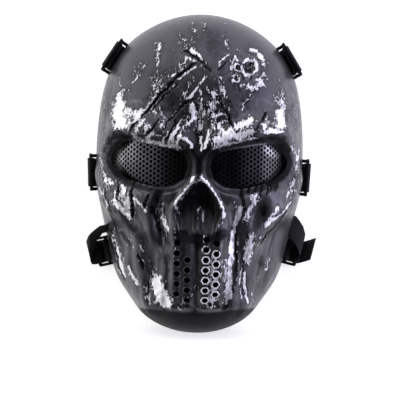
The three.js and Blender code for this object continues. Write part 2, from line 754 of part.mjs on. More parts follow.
// A rectangle with round corners, as an outline that runs anticlockwise.
function roundedOutline(path, width, height, corner) {
  const x = width / 2;
  const y = height / 2;
  path.moveTo(x, -y + corner);
  path.lineTo(x, y - corner);
  path.absarc(x - corner, y - corner, corner, 0, Math.PI / 2);
  path.lineTo(-x + corner, y);
  path.absarc(-x + corner, y - corner, corner, Math.PI / 2, Math.PI);
  path.lineTo(-x, -y + corner);
  path.absarc(-x + corner, -y + corner, corner, Math.PI, Math.PI * 1.5);
  path.lineTo(x - corner, -y);
  path.absarc(x - corner, -y + corner, corner, Math.PI * 1.5, Math.PI * 2);
  return path;
}

function windowPath(middle, width, height) {
  const path = new THREE.Path();
  path.moveTo(-width / 2, middle - height / 2);
  path.lineTo(-width / 2, middle + height / 2);
  path.lineTo(width / 2, middle + height / 2);
  path.lineTo(width / 2, middle - height / 2);
  path.closePath();
  return path;
}

const LOOP_WINDOW = HEAD_WEBBING + 2 * CLEARANCE;
const LOOP_WIDTH = LOOP_WINDOW + 2 * LOOP_SIDE;

// The two prongs of a strap loop, that hook through the shell. spare widens them into their own slots.
function prongBoxes(spare) {
  const half = PRONG_THICKNESS / 2 + spare;
  const lift = LOOP_LIFT - LOOP_HEIGHT / 2 + LOOP_BAR + PRONG_THICKNESS / 2;
  return [-1, 1].map((end) => {
    const along = end * (LOOP_WIDTH / 2 - LOOP_SIDE / 2);
    const side = LOOP_SIDE / 2 - CLEARANCE + spare;
    return boxBetween(
      new THREE.Vector3(-WALL - PRONG_REACH - PRONG_THICKNESS / 2, along - side, lift - half),
      new THREE.Vector3(LOOP_OUT, along + side, lift + half),
    );
  });
}

// A strap loop: an upright frame with an inner bar, and two prongs that end in lips behind the shell's wall.
function strapLoop() {
  const shape = roundedOutline(new THREE.Shape(), LOOP_WIDTH, LOOP_HEIGHT, LOOP_CORNER);
  const bar = STRAP_BAR_LIFT - LOOP_LIFT;
  const reach = LOOP_HEIGHT / 2 - LOOP_BAR;
  for (const [low, high] of [[-reach, bar - STRAP_BAR / 2], [bar + STRAP_BAR / 2, reach]]) {
    shape.holes.push(windowPath((low + high) / 2, LOOP_WINDOW, high - low));
  }
  const frame = new THREE.ExtrudeGeometry(shape, { depth: STRAP_BAR, bevelEnabled: false, curveSegments: 3 });
  const upright = new THREE.Matrix4().makeBasis(
    new THREE.Vector3(0, 1, 0),
    new THREE.Vector3(0, 0, 1),
    new THREE.Vector3(1, 0, 0),
  );
  frame.applyMatrix4(upright).translate(LOOP_OUT - STRAP_BAR / 2, 0, LOOP_LIFT);
  let loop = solidOf(frame);
  for (const prong of prongBoxes(0)) {
    prong.computeBoundingBox();
    const low = prong.boundingBox.min.clone();
    const high = prong.boundingBox.max.clone();
    high.x = low.x + PRONG_THICKNESS / 2;
    high.z += PRONG_LIP;
    loop = loop.add(solidOf(prong)).add(solidOf(boxBetween(low, high)));
  }
  return geometryOfSolid(loop);
}

const BUCKLE_WIDTH = JAW_WEBBING + 4 * CLEARANCE + 2 * BUCKLE_SIDE;
const BUCKLE_LENGTH = 2 * BUCKLE_STEP + BUCKLE_BAR;

// A ladder buckle: a flat frame with three bars across it.
function ladderBuckle() {
  const shape = roundedOutline(new THREE.Shape(), BUCKLE_WIDTH, BUCKLE_LENGTH, LOOP_CORNER);
  const width = BUCKLE_WIDTH - 2 * BUCKLE_SIDE;
  for (const end of [-1, 1]) {
    shape.holes.push(windowPath((end * BUCKLE_STEP) / 2, width, BUCKLE_WINDOW));
  }
  const frame = new THREE.ExtrudeGeometry(shape, { depth: BUCKLE_BAR, bevelEnabled: false, curveSegments: 3 });
  return frame.rotateZ(-Math.PI / 2).translate(BUCKLE_OUT, 0, BUCKLE_LIFT - BUCKLE_BAR / 2);
}

// Cuts a box that is set beside the shell's outline out of the shell.
function cutBeside(shell, up, side, low, high) {
  return shell.subtract(solidOf(boxBetween(low, high).applyMatrix4(outlineMatrix(up, side))));
}

// The whole vent pattern, as one cutter.
function ventCutter() {
  const vents = [];
  for (const column of VENT_COLUMNS) {
    for (let row = column.first; row < VENT_ROWS; row += 1) {
      const y = VENT_TOP - (row + column.lower) * VENT_PITCH;
      vents.push(hexagonOver(column.offset * VENT_PITCH, y, VENT_HOLE, DOME_DEPTH / 2, TALL));
    }
  }
  return wasm.Manifold.union(vents);
}

// The hard shell: the face, hollowed out, with its openings, vents, slots and strap arches.
function faceShell() {
  const face = domeSolid(OUTER_CELLS, 0, faceRise, 0);
  let shell = face.subtract(domeSolid(INNER_CELLS, WALL, hollowRise, TABLE_DROP));
  for (const side of [-1, 1]) {
    const outline = side > 0 ? eyePoints(1) : eyePoints(-1).reverse();
    shell = shell.subtract(prismOver(outline, 0, EYE_CUT_BOTTOM, TALL));
    shell = shell.subtract(screenSolid(side, CLEARANCE));
    const arch = HEAD_WEBBING / 2 + ARCH_SPARE;
    for (const up of [TEMPLE_UP, CROWN_UP]) {
      shell = cutBeside(
        shell,
        up,
        side,
        new THREE.Vector3(-WALL * 3, -arch, -TABLE_DROP),
        new THREE.Vector3(WALL, arch, ARCH_HEIGHT),
      );
      for (const prong of prongBoxes(CLEARANCE)) {
        shell = shell.subtract(solidOf(prong.applyMatrix4(outlineMatrix(up, side))));
      }
    }
    const jawArch = BUCKLE_WIDTH / 2 + CLEARANCE * 3;
    shell = cutBeside(
      shell,
      buckleUp(side),
      side,
      new THREE.Vector3(-WALL * 3, -jawArch, -TABLE_DROP),
      new THREE.Vector3(WALL, jawArch, JAW_ARCH_HEIGHT),
    );
  }
  for (const tab of JAW_TABS) shell = shell.subtract(tabSlot(tab));
  return shell.subtract(ventCutter());
}

// One eye screen's sheet, before it is perforated. spare swells it into the seat that it needs.
function screenSolid(side, spare) {
  const ends = [side * SCREEN_AREA.inner, side * SCREEN_AREA.outer];
  const area = { ...SCREEN_AREA, left: Math.min(...ends), right: Math.max(...ends) };
  const shallow = SOCKET_DEPTH + WALL + CLEARANCE - spare;
  const deep = SOCKET_DEPTH + WALL + CLEARANCE + SCREEN_THICKNESS + spare;
  const sheet = wallPatch(area, SCREEN_CELLS, shallow, deep, () => 0);
  const outline = side > 0 ? eyePoints(1) : eyePoints(-1).reverse();
  return sheet.intersect(prismOver(outline, SCREEN_FLANGE + spare, 0, TALL));
}

function eyeScreen(side) {
  const holes = [];
  const rowStep = SCREEN_PITCH * Math.cos(Math.PI / 6);
  const rows = Math.ceil(HALF_HEIGHT / rowStep);
  const columns = Math.ceil(HALF_WIDTH / SCREEN_PITCH);
  for (let row = -rows; row <= rows; row += 1) {
    for (let column = 0; column <= columns; column += 1) {
      const x = (column + (row % 2 === 0 ? 0 : 0.5)) * SCREEN_PITCH;
      const y = row * rowStep;
      if (outsideBy(RIGHT_EYE, x, y) > -SCREEN_HOLE / 2 - SCREEN_MARGIN) continue;
      holes.push(hexagonOver(side * x, y, SCREEN_HOLE, 0, TALL));
    }
  }
  return screenSolid(side, 0).subtract(wasm.Manifold.union(holes));
}

const mask = new THREE.Group();

function addPiece(name, geometry, material, matrix) {
  const mesh = new THREE.Mesh(geometry, material);
  mesh.name = name;
  if (matrix) mesh.applyMatrix4(matrix);
  mask.add(mesh);
}

addPiece("face_shell", geometryOfSolid(faceShell()), MATERIALS.shell);
for (const [side, word] of [[-1, "left"], [1, "right"]]) {
  addPiece(`eye_screen_${word}`, geometryOfSolid(eyeScreen(side)), MATERIALS.screen);
  addPiece(`crown_loop_${word}`, strapLoop(), MATERIALS.plastic, outlineMatrix(CROWN_UP, side));
  addPiece(`temple_loop_${word}`, strapLoop(), MATERIALS.plastic, outlineMatrix(TEMPLE_UP, side));
  addPiece(`jaw_buckle_${word}`, ladderBuckle(), MATERIALS.plastic, outlineMatrix(buckleUp(side), side));
  addPiece(`crown_strap_${word}`, crownStrap(side), MATERIALS.webbing);
}
for (const tab of JAW_TABS) addPiece(tab.name, jawTab(tab), MATERIALS.webbing);
addPiece("temple_strap", templeStrap(), MATERIALS.webbing);
addPiece("neck_strap", neckStrap(), MATERIALS.webbing);

export default mask;
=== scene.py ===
# The looks of the skull mask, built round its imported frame: the fine carved shell with worn silver
# paint, the perforated eye screens, the rimmed mouth vents, the moulded loops and the woven straps.
# Sizes are millimetres in the tables and metres in the meshes. Places that follow the picture are given
# as picture coordinates in a 400 by 400 frame, and are laid on the surface that carries them.
import itertools
import math
from collections import namedtuple

import bmesh
import bpy
import numpy as np
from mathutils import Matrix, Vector


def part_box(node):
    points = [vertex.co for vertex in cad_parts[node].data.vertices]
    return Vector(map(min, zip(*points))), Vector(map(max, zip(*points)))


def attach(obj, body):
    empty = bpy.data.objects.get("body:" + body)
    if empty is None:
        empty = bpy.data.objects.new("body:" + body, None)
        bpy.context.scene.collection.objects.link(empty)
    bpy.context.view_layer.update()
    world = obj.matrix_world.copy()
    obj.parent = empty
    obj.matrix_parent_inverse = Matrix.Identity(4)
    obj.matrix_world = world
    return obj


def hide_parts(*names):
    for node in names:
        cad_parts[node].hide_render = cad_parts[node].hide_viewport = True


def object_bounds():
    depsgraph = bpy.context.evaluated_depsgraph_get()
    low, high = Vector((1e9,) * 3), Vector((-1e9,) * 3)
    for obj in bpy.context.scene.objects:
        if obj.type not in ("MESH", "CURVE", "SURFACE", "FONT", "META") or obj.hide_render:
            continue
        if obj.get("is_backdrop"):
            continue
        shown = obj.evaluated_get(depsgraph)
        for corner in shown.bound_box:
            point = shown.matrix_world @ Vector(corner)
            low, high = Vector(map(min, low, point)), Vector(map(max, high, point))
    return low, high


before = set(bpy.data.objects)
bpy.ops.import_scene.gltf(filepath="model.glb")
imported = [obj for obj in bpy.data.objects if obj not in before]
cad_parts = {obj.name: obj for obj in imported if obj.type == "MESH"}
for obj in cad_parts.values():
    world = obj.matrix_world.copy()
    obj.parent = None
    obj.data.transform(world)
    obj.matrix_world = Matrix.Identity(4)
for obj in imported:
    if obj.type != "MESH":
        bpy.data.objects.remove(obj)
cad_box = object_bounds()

MM = 0.001

# The shell's driving sizes. The height and the depth at the table follow the frame.
SHELL_LOW, SHELL_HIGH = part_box("face_shell")
HALF_HEIGHT = (SHELL_HIGH.y - SHELL_LOW.y) / 2 / MM
HALF_WIDTH = HALF_HEIGHT * 0.65
DOME_DEPTH = HALF_HEIGHT * 0.7
WALL = 3.0
CLEARANCE = 0.3
RIM_BAND = 0.3
FOLD_RISE = 10.0
SOCKET_DEPTH = 7.0
SOCKET_WALL = 5.0
SOCKET_OUTER_WALL = 10.0
SOCKET_LEAN = {"from": 0.66, "over": 0.14}
NOSE_DEPTH = 15.0
NOSE_EDGE = 3.6
NOSE_RIM = 2.5
NOSE_RIM_END = 0.3
MUZZLE_RISE = 4.0
MUZZLE_EDGE = 6.0
MUZZLE = {"half": 0.27, "top": -0.36, "bottom": -0.84}
HOLLOW_SPREAD = 4.0
SCREEN_MARGIN = 1.0
SCREEN_THICKNESS = 1.0

# The camera stands straight above the mask, turned a little about its own axis.
IMAGE_SIZE = 400
CAMERA_HEIGHT = 1650.0
PIXEL = 0.884
SENSOR = 36.0
CAMERA_ROLL = math.radians(1.5)
MASK_PLACE = {"px": 199.0, "py": 173.5}
CAMERA_ACROSS = (IMAGE_SIZE / 2 - MASK_PLACE["px"]) * PIXEL
CAMERA_DOWN = (IMAGE_SIZE / 2 - MASK_PLACE["py"]) * PIXEL

# The outline seen from the front, as the frame's shell has it. The eyes' outer ends and the nose's top are
# drawn a little closer to the picture than the frame's.
OUTLINE = {
    "up": [-1.0, -0.9, -0.8, -0.65, -0.45, -0.3, -0.12, 0.08, 0.3, 0.5, 0.7, 0.85, 1.0],
    "breadth": [1.2, 1.11, 1.03, 1.01, 0.967, 0.96, 0.984, 1.0, 1.035, 1.095, 1.17, 1.205, 1.2],
    "fullness": [2.5, 2.4, 2.25, 2.15, 2.15, 2.2, 2.3, 2.4, 2.35, 2.3, 2.25, 2.25, 2.25],
}
EYE = {
    "across": [
        0.825, 0.788, 0.68, 0.55, 0.41, 0.27, 0.155, 0.118,
        0.125, 0.17, 0.25, 0.37, 0.48, 0.61, 0.73,
    ],
    "up": [
        0.061, 0.124, 0.18, 0.172, 0.154, 0.135, 0.108, 0.046,
        -0.006, -0.053, -0.088, -0.096, -0.085, -0.06, -0.022,
    ],
}
NOSE = {
    "down": [0.04, 0.062, 0.14, 0.21, 0.26, 0.32, 0.42],
    "half": [0.0, 0.058, 0.148, 0.214, 0.22, 0.187, 0.165],
    "depth": [0.2, 0.5, 0.95, 0.9, 0.72, 0.45, 0.0],
}
Fold = namedtuple("Fold", "name x0 y0 x1 y1 width rise both")
FOLDS = [
    Fold("outer brow", 0.76, 0.24, 0.5, 0.25, 0.12, 0.55, True),
    Fold("inner brow", 0.5, 0.25, 0.13, 0.17, 0.11, 0.65, True),
    Fold("brow crease", 0.0, 0.34, 0.0, 0.13, 0.05, -0.45, False),
    Fold("nose bridge", 0.0, 0.1, 0.0, -0.02, 0.1, 0.85, False),
    Fold("cheekbone", 0.92, -0.03, 0.72, -0.22, 0.12, 0.5, True),
    Fold("lower cheekbone", 0.72, -0.22, 0.52, -0.38, 0.1, 0.4, True),
    Fold("under eye", 0.34, -0.16, 0.66, -0.12, 0.1, 0.3, True),
    Fold("cheek hollow", 0.8, -0.36, 0.58, -0.68, 0.12, -0.5, True),
    Fold("mouth furrow", 0.33, -0.24, 0.42, -0.72, 0.07, -0.4, True),
    Fold("jaw", 0.66, -0.58, 0.42, -0.84, 0.12, 0.3, True),
    Fold("temple hollow", 0.86, 0.38, 0.9, 0.56, 0.14, -0.3, True),
    Fold("lip line", 0.0, -0.44, 0.0, -0.8, 0.05, -0.3, False),
    Fold("chin", -0.12, -0.93, 0.12, -0.93, 0.18, 0.3, False),
]

# Cuts and cracks in the shell. Their paths and widths are in picture pixels, depth and lip in millimetres.
Scar = namedtuple("Scar", "name path width depth lip")
SCARS = [
    Scar("long gash", [
        (129.3, 131.6), (139.3, 119.3), (149.3, 108.2), (159.3, 96), (168.2, 85), (178.6, 75), (196, 62.5),
    ], 1.0, 2.4, 0.6),
    Scar("gash side", [(150, 112), (163, 98), (178, 84)], 0.7, 0.8, 0.3),
    Scar("crossing cut", [(184.3, 50.9), (197.1, 57.3), (210, 71)], 0.9, 1.3, 0.4),
    Scar("right gash", [(217, 97.3), (223.3, 107.3), (228.3, 116), (232, 125), (237, 133.5)], 0.9, 2.2, 0.5),
    Scar("middle cut", [(162, 130), (172, 118), (182, 106), (193, 99)], 0.86, 1.4, 0.4),
    Scar("upper cut", [(227.1, 60.9), (218.6, 70.9)], 1.0, 1.3, 0.4),
    Scar("right brow crack", [(267, 112.3), (262, 119.8), (257, 128.5)], 0.85, 1.8, 0.4),
    Scar("thin crack", [(255, 90), (249, 98), (243, 107)], 0.62, 0.9, 0.4),
    Scar("brow notch", [(166, 139), (171, 130), (176, 121)], 1.01, 2.2, 0.4),
    Scar("inner brow notch", [(174, 140), (179, 130)], 0.86, 1.8, 0.4),
    Scar("outer brow notch", [(159.3, 119.3), (151.6, 128.2), (145, 137)], 0.95, 2.0, 0.4),
    Scar("cheek crack outer", [(119.2, 179), (118.4, 189.3), (116.7, 198)], 0.85, 2.0, 0.3),
    Scar("cheek crack", [(135.3, 180), (131.4, 192.7), (132, 205), (133.7, 218)], 1.0, 2.2, 0.3),
    Scar("cheek crack inner", [(151, 188.5), (146.4, 199.3), (144.8, 208)], 0.85, 1.8, 0.5),
    Scar("right cheek nick", [(273, 184), (270, 192)], 0.78, 1.0, 0.2),
    Scar("right jaw cut", [(287, 211), (274.2, 228), (266.4, 234), (261, 243)], 0.75, 1.4, 0.4),
    Scar("left jaw cut", [(112, 229), (116, 249), (119, 266), (125, 280)], 0.78, 1.2, 0.5),
    Scar("left jaw nick", [(121, 232), (127, 240), (132, 247)], 0.86, 1.2, 0.3),
    Scar("left chin nick", [(138, 253), (145, 270)], 0.86, 1.2, 0.3),
    Scar("left temple line", [(104, 190), (109, 205), (113, 216)], 0.94, 1.2, 0.5),
    Scar("right muzzle furrow", [(236, 226), (235, 260), (233, 292)], 1.01, 1.0, 0.6),
]

# Round shot marks: the middle, the radii of hole and rim in pixels, and the depth and rim in millimetres.
Crater = namedtuple("Crater", "px py hole ring depth rise")
CRATERS = [
    Crater(249.3, 67.3, 4.6, 7.9, 2.6, 1.5),
    Crater(238.4, 67.5, 1.7, 3.6, 1.8, 0.8),
    Crater(236.0, 78.5, 1.5, 3.2, 1.0, 0.7),
]

# Strokes up to this many pixels wide keep clean edges.
FINE_STROKE = 2.2

# Brushed silver paint: soft strokes in picture pixels, charted part by part of the mask. The strength sets
# how closely the flecks stand.
Stroke = namedtuple("Stroke", "path width strength")
STROKES = {
    "left brow": [
        Stroke([(119, 106), (119.5, 114), (122, 122)], 7.6, 1.6),
        Stroke([(121, 94), (120, 102)], 4.4, 1.3),
        Stroke([(128, 111), (139, 115)], 4.8, 1.15),
        Stroke([(140, 114), (135, 123)], 3.0, 1.3),
        Stroke([(119, 75), (121, 86)], 1.7, 0.9),
        Stroke([(115, 116), (118, 126), (127, 125)], 5.0, 1.0),
        Stroke([(123, 89), (131, 90)], 1.6, 0.9),
        Stroke([(155, 97), (145, 110)], 1.0, 1.5),
        Stroke([(156, 104), (150, 113)], 1.4, 1.2),
        Stroke([(152, 105), (155, 113)], 2.8, 1.3),
        Stroke([(159, 106), (162, 113)], 1.0, 1.2),
        Stroke([(144, 119), (137, 128), (135, 136)], 1.6, 1.1),
        Stroke([(143, 123), (146, 128)], 2.4, 0.7),
        Stroke([(144, 133), (147, 129)], 1.0, 1.2),
        Stroke([(162, 115), (165, 118), (169, 122)], 1.2, 1.3),
        Stroke([(176, 119), (177, 126), (182, 118)], 1.2, 1.0),
        Stroke([(140, 128), (158, 124), (176, 130)], 8.0, 0.7),
    ],
    "chipped blocks over the left eye": [
        Stroke([(156, 136), (161, 138)], 3.0, 1.0),
        Stroke([(154, 133), (147, 138), (150, 141.5), (162.5, 143), (167, 135)], 1.2, 2.1),
        Stroke([(178, 128), (173, 135), (168.5, 142.5), (169.5, 146), (175, 146)], 1.3, 2.0),
        Stroke([(176, 137), (173, 144)], 2.0, 0.95),
        Stroke([(180, 136), (176, 144)], 1.1, 1.7),
        Stroke([(179, 137), (186, 139.5), (191.5, 144), (191.5, 147)], 1.8, 2.1),
        Stroke([(177, 145.5), (183, 149)], 1.0, 1.7),
        Stroke([(133, 137), (148, 142), (166, 145.5), (183, 149)], 2.2, 1.1),
    ],
    "middle of the forehead": [
        Stroke([(204.5, 78), (197, 88), (190, 99)], 1.4, 1.3),
        Stroke([(213, 92), (217, 98.5), (218.5, 102)], 1.8, 1.6),
        Stroke([(212, 95), (209.5, 105)], 2.2, 0.6),
        Stroke([(200, 104), (199, 116), (199, 127)], 7.0, 1.0),
        Stroke([(192, 103), (194, 118), (188, 123.5)], 1.6, 1.7),
        Stroke([(201, 125), (201, 128)], 1.2, 1.6),
        Stroke([(200.8, 137), (201.4, 150)], 1.2, 2.1),
        Stroke([(209.5, 130), (206, 143.5), (204.5, 149)], 1.3, 2.0),
        Stroke([(220, 77), (224, 92)], 2.4, 1.1),
        Stroke([(224, 90), (226, 97)], 1.6, 1.1),
        Stroke([(229.5, 101), (230, 109)], 1.2, 1.1),
        Stroke([(207, 88), (214, 97)], 1.6, 1.2),
        Stroke([(200, 90), (201, 92)], 1.4, 1.3),
        Stroke([(193, 76), (193.5, 78)], 1.3, 1.2),
        Stroke([(188, 99), (195, 90)], 1.2, 1.1),
        Stroke([(212, 104), (218, 119)], 6.0, 0.6),
    ],
    "right brow": [
        Stroke([(217, 142), (224, 139), (236, 133)], 5.6, 1.5),
        Stroke([(224, 133), (233, 129)], 3.4, 1.2),
        Stroke([(214, 148.5), (232, 143.5), (247, 140), (257, 138)], 1.8, 1.2),
        Stroke([(213, 117), (223, 113.5)], 1.4, 1.1),
        Stroke([(219, 124), (228, 120)], 1.5, 1.2),
        Stroke([(236, 126), (244, 123.5), (251, 119.5)], 4.4, 1.5),
        Stroke([(251, 119), (257, 122)], 2.0, 0.5),
        Stroke([(238, 137), (252, 131)], 4.5, 1.5),
        Stroke([(216, 127), (222, 131)], 4.0, 0.9),
        Stroke([(282.5, 103), (281, 112)], 3.6, 1.15),
        Stroke([(280.5, 116), (280, 126)], 5.8, 1.7),
        Stroke([(262, 123.5), (266, 130), (274.5, 132)], 2.6, 1.5),
        Stroke([(262, 133), (284, 132)], 1.6, 1.2),
        Stroke([(265, 116), (270, 125)], 3.0, 1.0),
        Stroke([(281, 90), (282, 98)], 3.4, 0.85),
        Stroke([(279.5, 80), (280, 83)], 1.5, 0.8),
        Stroke([(252, 93.5), (249.5, 98.5), (244.5, 103.5), (242, 110)], 0.9, 1.6),
    ],
    "crown": [
        Stroke([(178.5, 33.5), (187, 45), (193, 51)], 3.0, 0.8),
        Stroke([(193, 51), (200, 56)], 2.0, 1.6),
        Stroke([(194.3, 32), (193, 46.5)], 4.0, 0.6),
        Stroke([(204.3, 23.5), (204.3, 32.5)], 2.4, 0.9),
        Stroke([(193, 25), (194, 29)], 3.0, 0.8),
        Stroke([(225.7, 23.7), (230, 23.7)], 1.5, 0.55),
        Stroke([(224.3, 33.7), (228.6, 46.6)], 2.4, 0.65),
        Stroke([(186, 57), (184.5, 63)], 1.6, 1.3),
        Stroke([(188.6, 58), (194.3, 61)], 1.6, 1.3),
        Stroke([(201.4, 59.4), (204.3, 63.7)], 1.2, 1.7),
        Stroke([(178.6, 79.4), (185.7, 73.7), (195.7, 66.6)], 1.0, 1.6),
        Stroke([(171.4, 76.6), (176, 73.5)], 1.0, 1.3),
        Stroke([(218.6, 62.3), (230, 53.7)], 1.1, 1.5),
        Stroke([(160, 43.5), (157, 62)], 3.0, 0.85),
        Stroke([(159, 44), (160, 49)], 1.4, 1.2),
        Stroke([(163, 72), (156, 82), (155, 88)], 6.0, 0.72),
        Stroke([(171, 50), (175, 53)], 2.0, 0.5),
        Stroke([(140, 66), (136, 74)], 5.0, 0.65),
    ],
    "thin streaks of grit over the crown and the forehead": [
        Stroke([(156, 44), (158, 60), (152, 78)], 3.0, 0.55),
        Stroke([(147, 63), (143, 68)], 1.4, 0.9),
        Stroke([(131, 84), (137, 78), (141, 72)], 1.2, 1.0),
        Stroke([(181, 64), (186, 72), (190, 70)], 3.0, 0.8),
        Stroke([(190, 82), (184, 92)], 2.6, 0.8),
        Stroke([(166, 88), (172, 84)], 1.6, 0.9),
        Stroke([(226, 42), (227, 50)], 2.0, 0.5),
        Stroke([(264, 74), (268, 80)], 1.4, 0.9),
        Stroke([(276, 96), (279, 104)], 3.0, 0.8),
        Stroke([(160, 121), (164, 130)], 2.6, 0.8),
    ],
    "grit along the gashes": [
        Stroke([(133, 122), (148, 104), (162, 86), (180, 68)], 5.0, 0.55),
        Stroke([(184, 96), (190, 108), (183, 128), (172, 140)], 5.0, 0.7),
        Stroke([(214, 84), (222, 100), (230, 118)], 5.0, 0.6),
        Stroke([(210, 110), (216, 128), (208, 144)], 6.0, 0.62),
        Stroke([(182, 44), (196, 60), (206, 76)], 6.0, 0.5),
        Stroke([(244, 104), (250, 92)], 4.0, 0.5),
    ],
    "round the shot marks": [
        Stroke([(233, 66.5), (235.7, 56)], 2.4, 1.5),
        Stroke([(236, 74), (238.5, 79.5)], 2.3, 1.4),
        Stroke([(243, 83.5), (250, 88), (260, 85)], 2.6, 1.0),
        Stroke([(258.6, 78), (263, 85)], 2.6, 1.3),
        Stroke([(260, 55), (263.6, 64)], 2.4, 1.6),
        Stroke([(251.4, 49.4), (256, 51)], 2.2, 1.5),
        Stroke([(238, 50), (239, 50.5)], 1.3, 1.3),
        Stroke([(231, 60), (236, 86), (256, 90), (264, 66), (250, 50)], 4.2, 0.7),
    ],
    "left cheek": [
        Stroke([(107, 180), (112, 183), (117, 180)], 2.2, 1.2),
        Stroke([(121, 183), (123, 189)], 1.7, 1.2),
        Stroke([(122, 190), (127, 200), (128, 208)], 6.4, 1.4),
        Stroke([(107, 176), (113, 190), (118, 202)], 3.4, 0.8),
        Stroke([(113, 201), (120, 209), (131, 218)], 2.6, 1.5),
        Stroke([(98.7, 187), (104, 196), (113, 215)], 1.3, 1.3),
        Stroke([(134, 198), (140, 204), (146.5, 211.5)], 1.7, 1.6),
        Stroke([(162.5, 204), (163, 218), (167, 229)], 2.2, 1.3),
        Stroke([(158, 208), (163, 226), (166, 237)], 4.4, 0.6),
        Stroke([(140, 245), (143, 251.5)], 1.1, 1.4),
        Stroke([(101, 158), (103, 172), (107, 184)], 2.2, 1.1),
        Stroke([(104, 190), (109, 206)], 1.4, 1.1),
    ],
    "left jaw and chin": [
        Stroke([(112.6, 236), (116, 247), (119.2, 260.5), (124.5, 276)], 2.1, 1.9),
        Stroke([(128.7, 267), (132, 275), (137, 284)], 1.7, 1.7),
        Stroke([(145.5, 287), (149, 303)], 3.4, 1.0),
        Stroke([(156, 282), (160, 292), (165, 303)], 6.4, 2.5),
        Stroke([(158, 301), (168, 304)], 3.4, 1.2),
        Stroke([(152, 264), (157, 277)], 3.4, 0.8),
        Stroke([(119, 246), (124, 262)], 3.0, 0.7),
        Stroke([(143, 240), (148, 258)], 4.0, 0.5),
        Stroke([(133, 276), (140, 284)], 3.0, 0.7),
        Stroke([(141, 281), (142, 283)], 1.6, 0.8),
    ],
    "nose": [
        Stroke([(193.5, 181.5), (198, 181), (202, 179), (205.5, 181)], 1.5, 1.9),
        Stroke([(201.5, 176.5), (204, 180), (209, 187)], 1.0, 1.7),
        Stroke([(196, 185), (200, 189)], 3.2, 0.75),
        Stroke([(193, 186), (186, 194), (181, 200)], 0.9, 1.2),
        Stroke([(177, 208), (181, 213)], 2.6, 0.8),
        Stroke([(193.5, 177), (190, 184.5), (184, 192), (177, 200), (175, 204.5)], 1.3, 2.1),
        Stroke([(175, 205), (178, 213)], 1.8, 1.0),
        Stroke([(207, 181), (215.3, 193.8), (220.3, 202.7)], 1.1, 1.9),
        Stroke([(220.3, 202.7), (223.7, 210.4), (224.2, 216)], 2.1, 1.9),
        Stroke([(226, 214), (219, 226)], 3.0, 0.75),
        Stroke([(196.5, 219), (197.5, 211), (200.5, 208)], 1.0, 1.7),
        Stroke([(200.5, 208), (203, 212), (203.6, 223)], 1.3, 1.8),
        Stroke([(205, 234), (203, 242)], 1.1, 1.1),
        Stroke([(192, 176), (193.5, 180)], 1.0, 1.3),
        Stroke([(202, 175), (203, 179)], 1.0, 1.3),
    ],
    "muzzle": [
        Stroke([(174, 228), (175, 240), (174, 262)], 1.2, 0.8),
        Stroke([(214, 258), (215, 276), (211, 303)], 7.0, 1.2),
        Stroke([(225.5, 262), (226.5, 284), (225, 302)], 3.0, 1.3),
        Stroke([(197, 284), (190, 297), (178, 307)], 3.2, 0.8),
        Stroke([(176, 309), (200, 308), (222, 306)], 1.6, 0.5),
        Stroke([(204, 236), (204, 246)], 1.0, 0.7),
    ],
    "right cheek": [
        Stroke([(240.3, 208), (238, 216)], 2.2, 2.4),
        Stroke([(238, 216), (235.3, 224), (233.7, 233)], 2.2, 2.4),
        Stroke([(233.7, 233), (232, 246), (231.4, 260.4)], 2.2, 2.4),
        Stroke([(231, 260), (229.6, 272), (229.4, 284), (230.5, 297)], 2.2, 2.3),
        Stroke([(238, 211), (235.6, 222), (232.4, 236), (230, 254)], 1.7, 2.0),
        Stroke([(234, 201.6), (236, 207)], 2.0, 0.9),
        Stroke([(254.8, 198), (246.5, 218)], 5.2, 1.35),
        Stroke([(277.6, 209), (266.4, 224)], 3.4, 1.35),
        Stroke([(294, 180), (292, 189), (288.7, 197)], 4.0, 1.15),
        Stroke([(290, 202.7), (283, 212.7), (265.3, 227)], 1.2, 1.5),
        Stroke([(251, 238), (246.4, 259)], 4.8, 1.6),
        Stroke([(261, 237), (257.5, 246)], 1.2, 1.1),
        Stroke([(268.7, 258), (266.4, 268)], 2.3, 1.0),
        Stroke([(257.6, 272.7), (257, 283.8)], 1.5, 0.7),
        Stroke([(240.3, 272.7), (239.8, 283.8), (241.4, 299)], 1.3, 1.1),
        Stroke([(244.8, 272.7), (244.2, 286), (247.6, 302.7)], 1.7, 1.6),
        Stroke([(251.4, 292.7), (253.7, 302.7)], 1.2, 1.0),
        Stroke([(242.6, 264), (241, 272.7)], 1.2, 0.8),
        Stroke([(292, 146), (297, 160)], 2.2, 1.2),
        Stroke([(299, 150), (296, 170)], 1.6, 1.2),
    ],
}

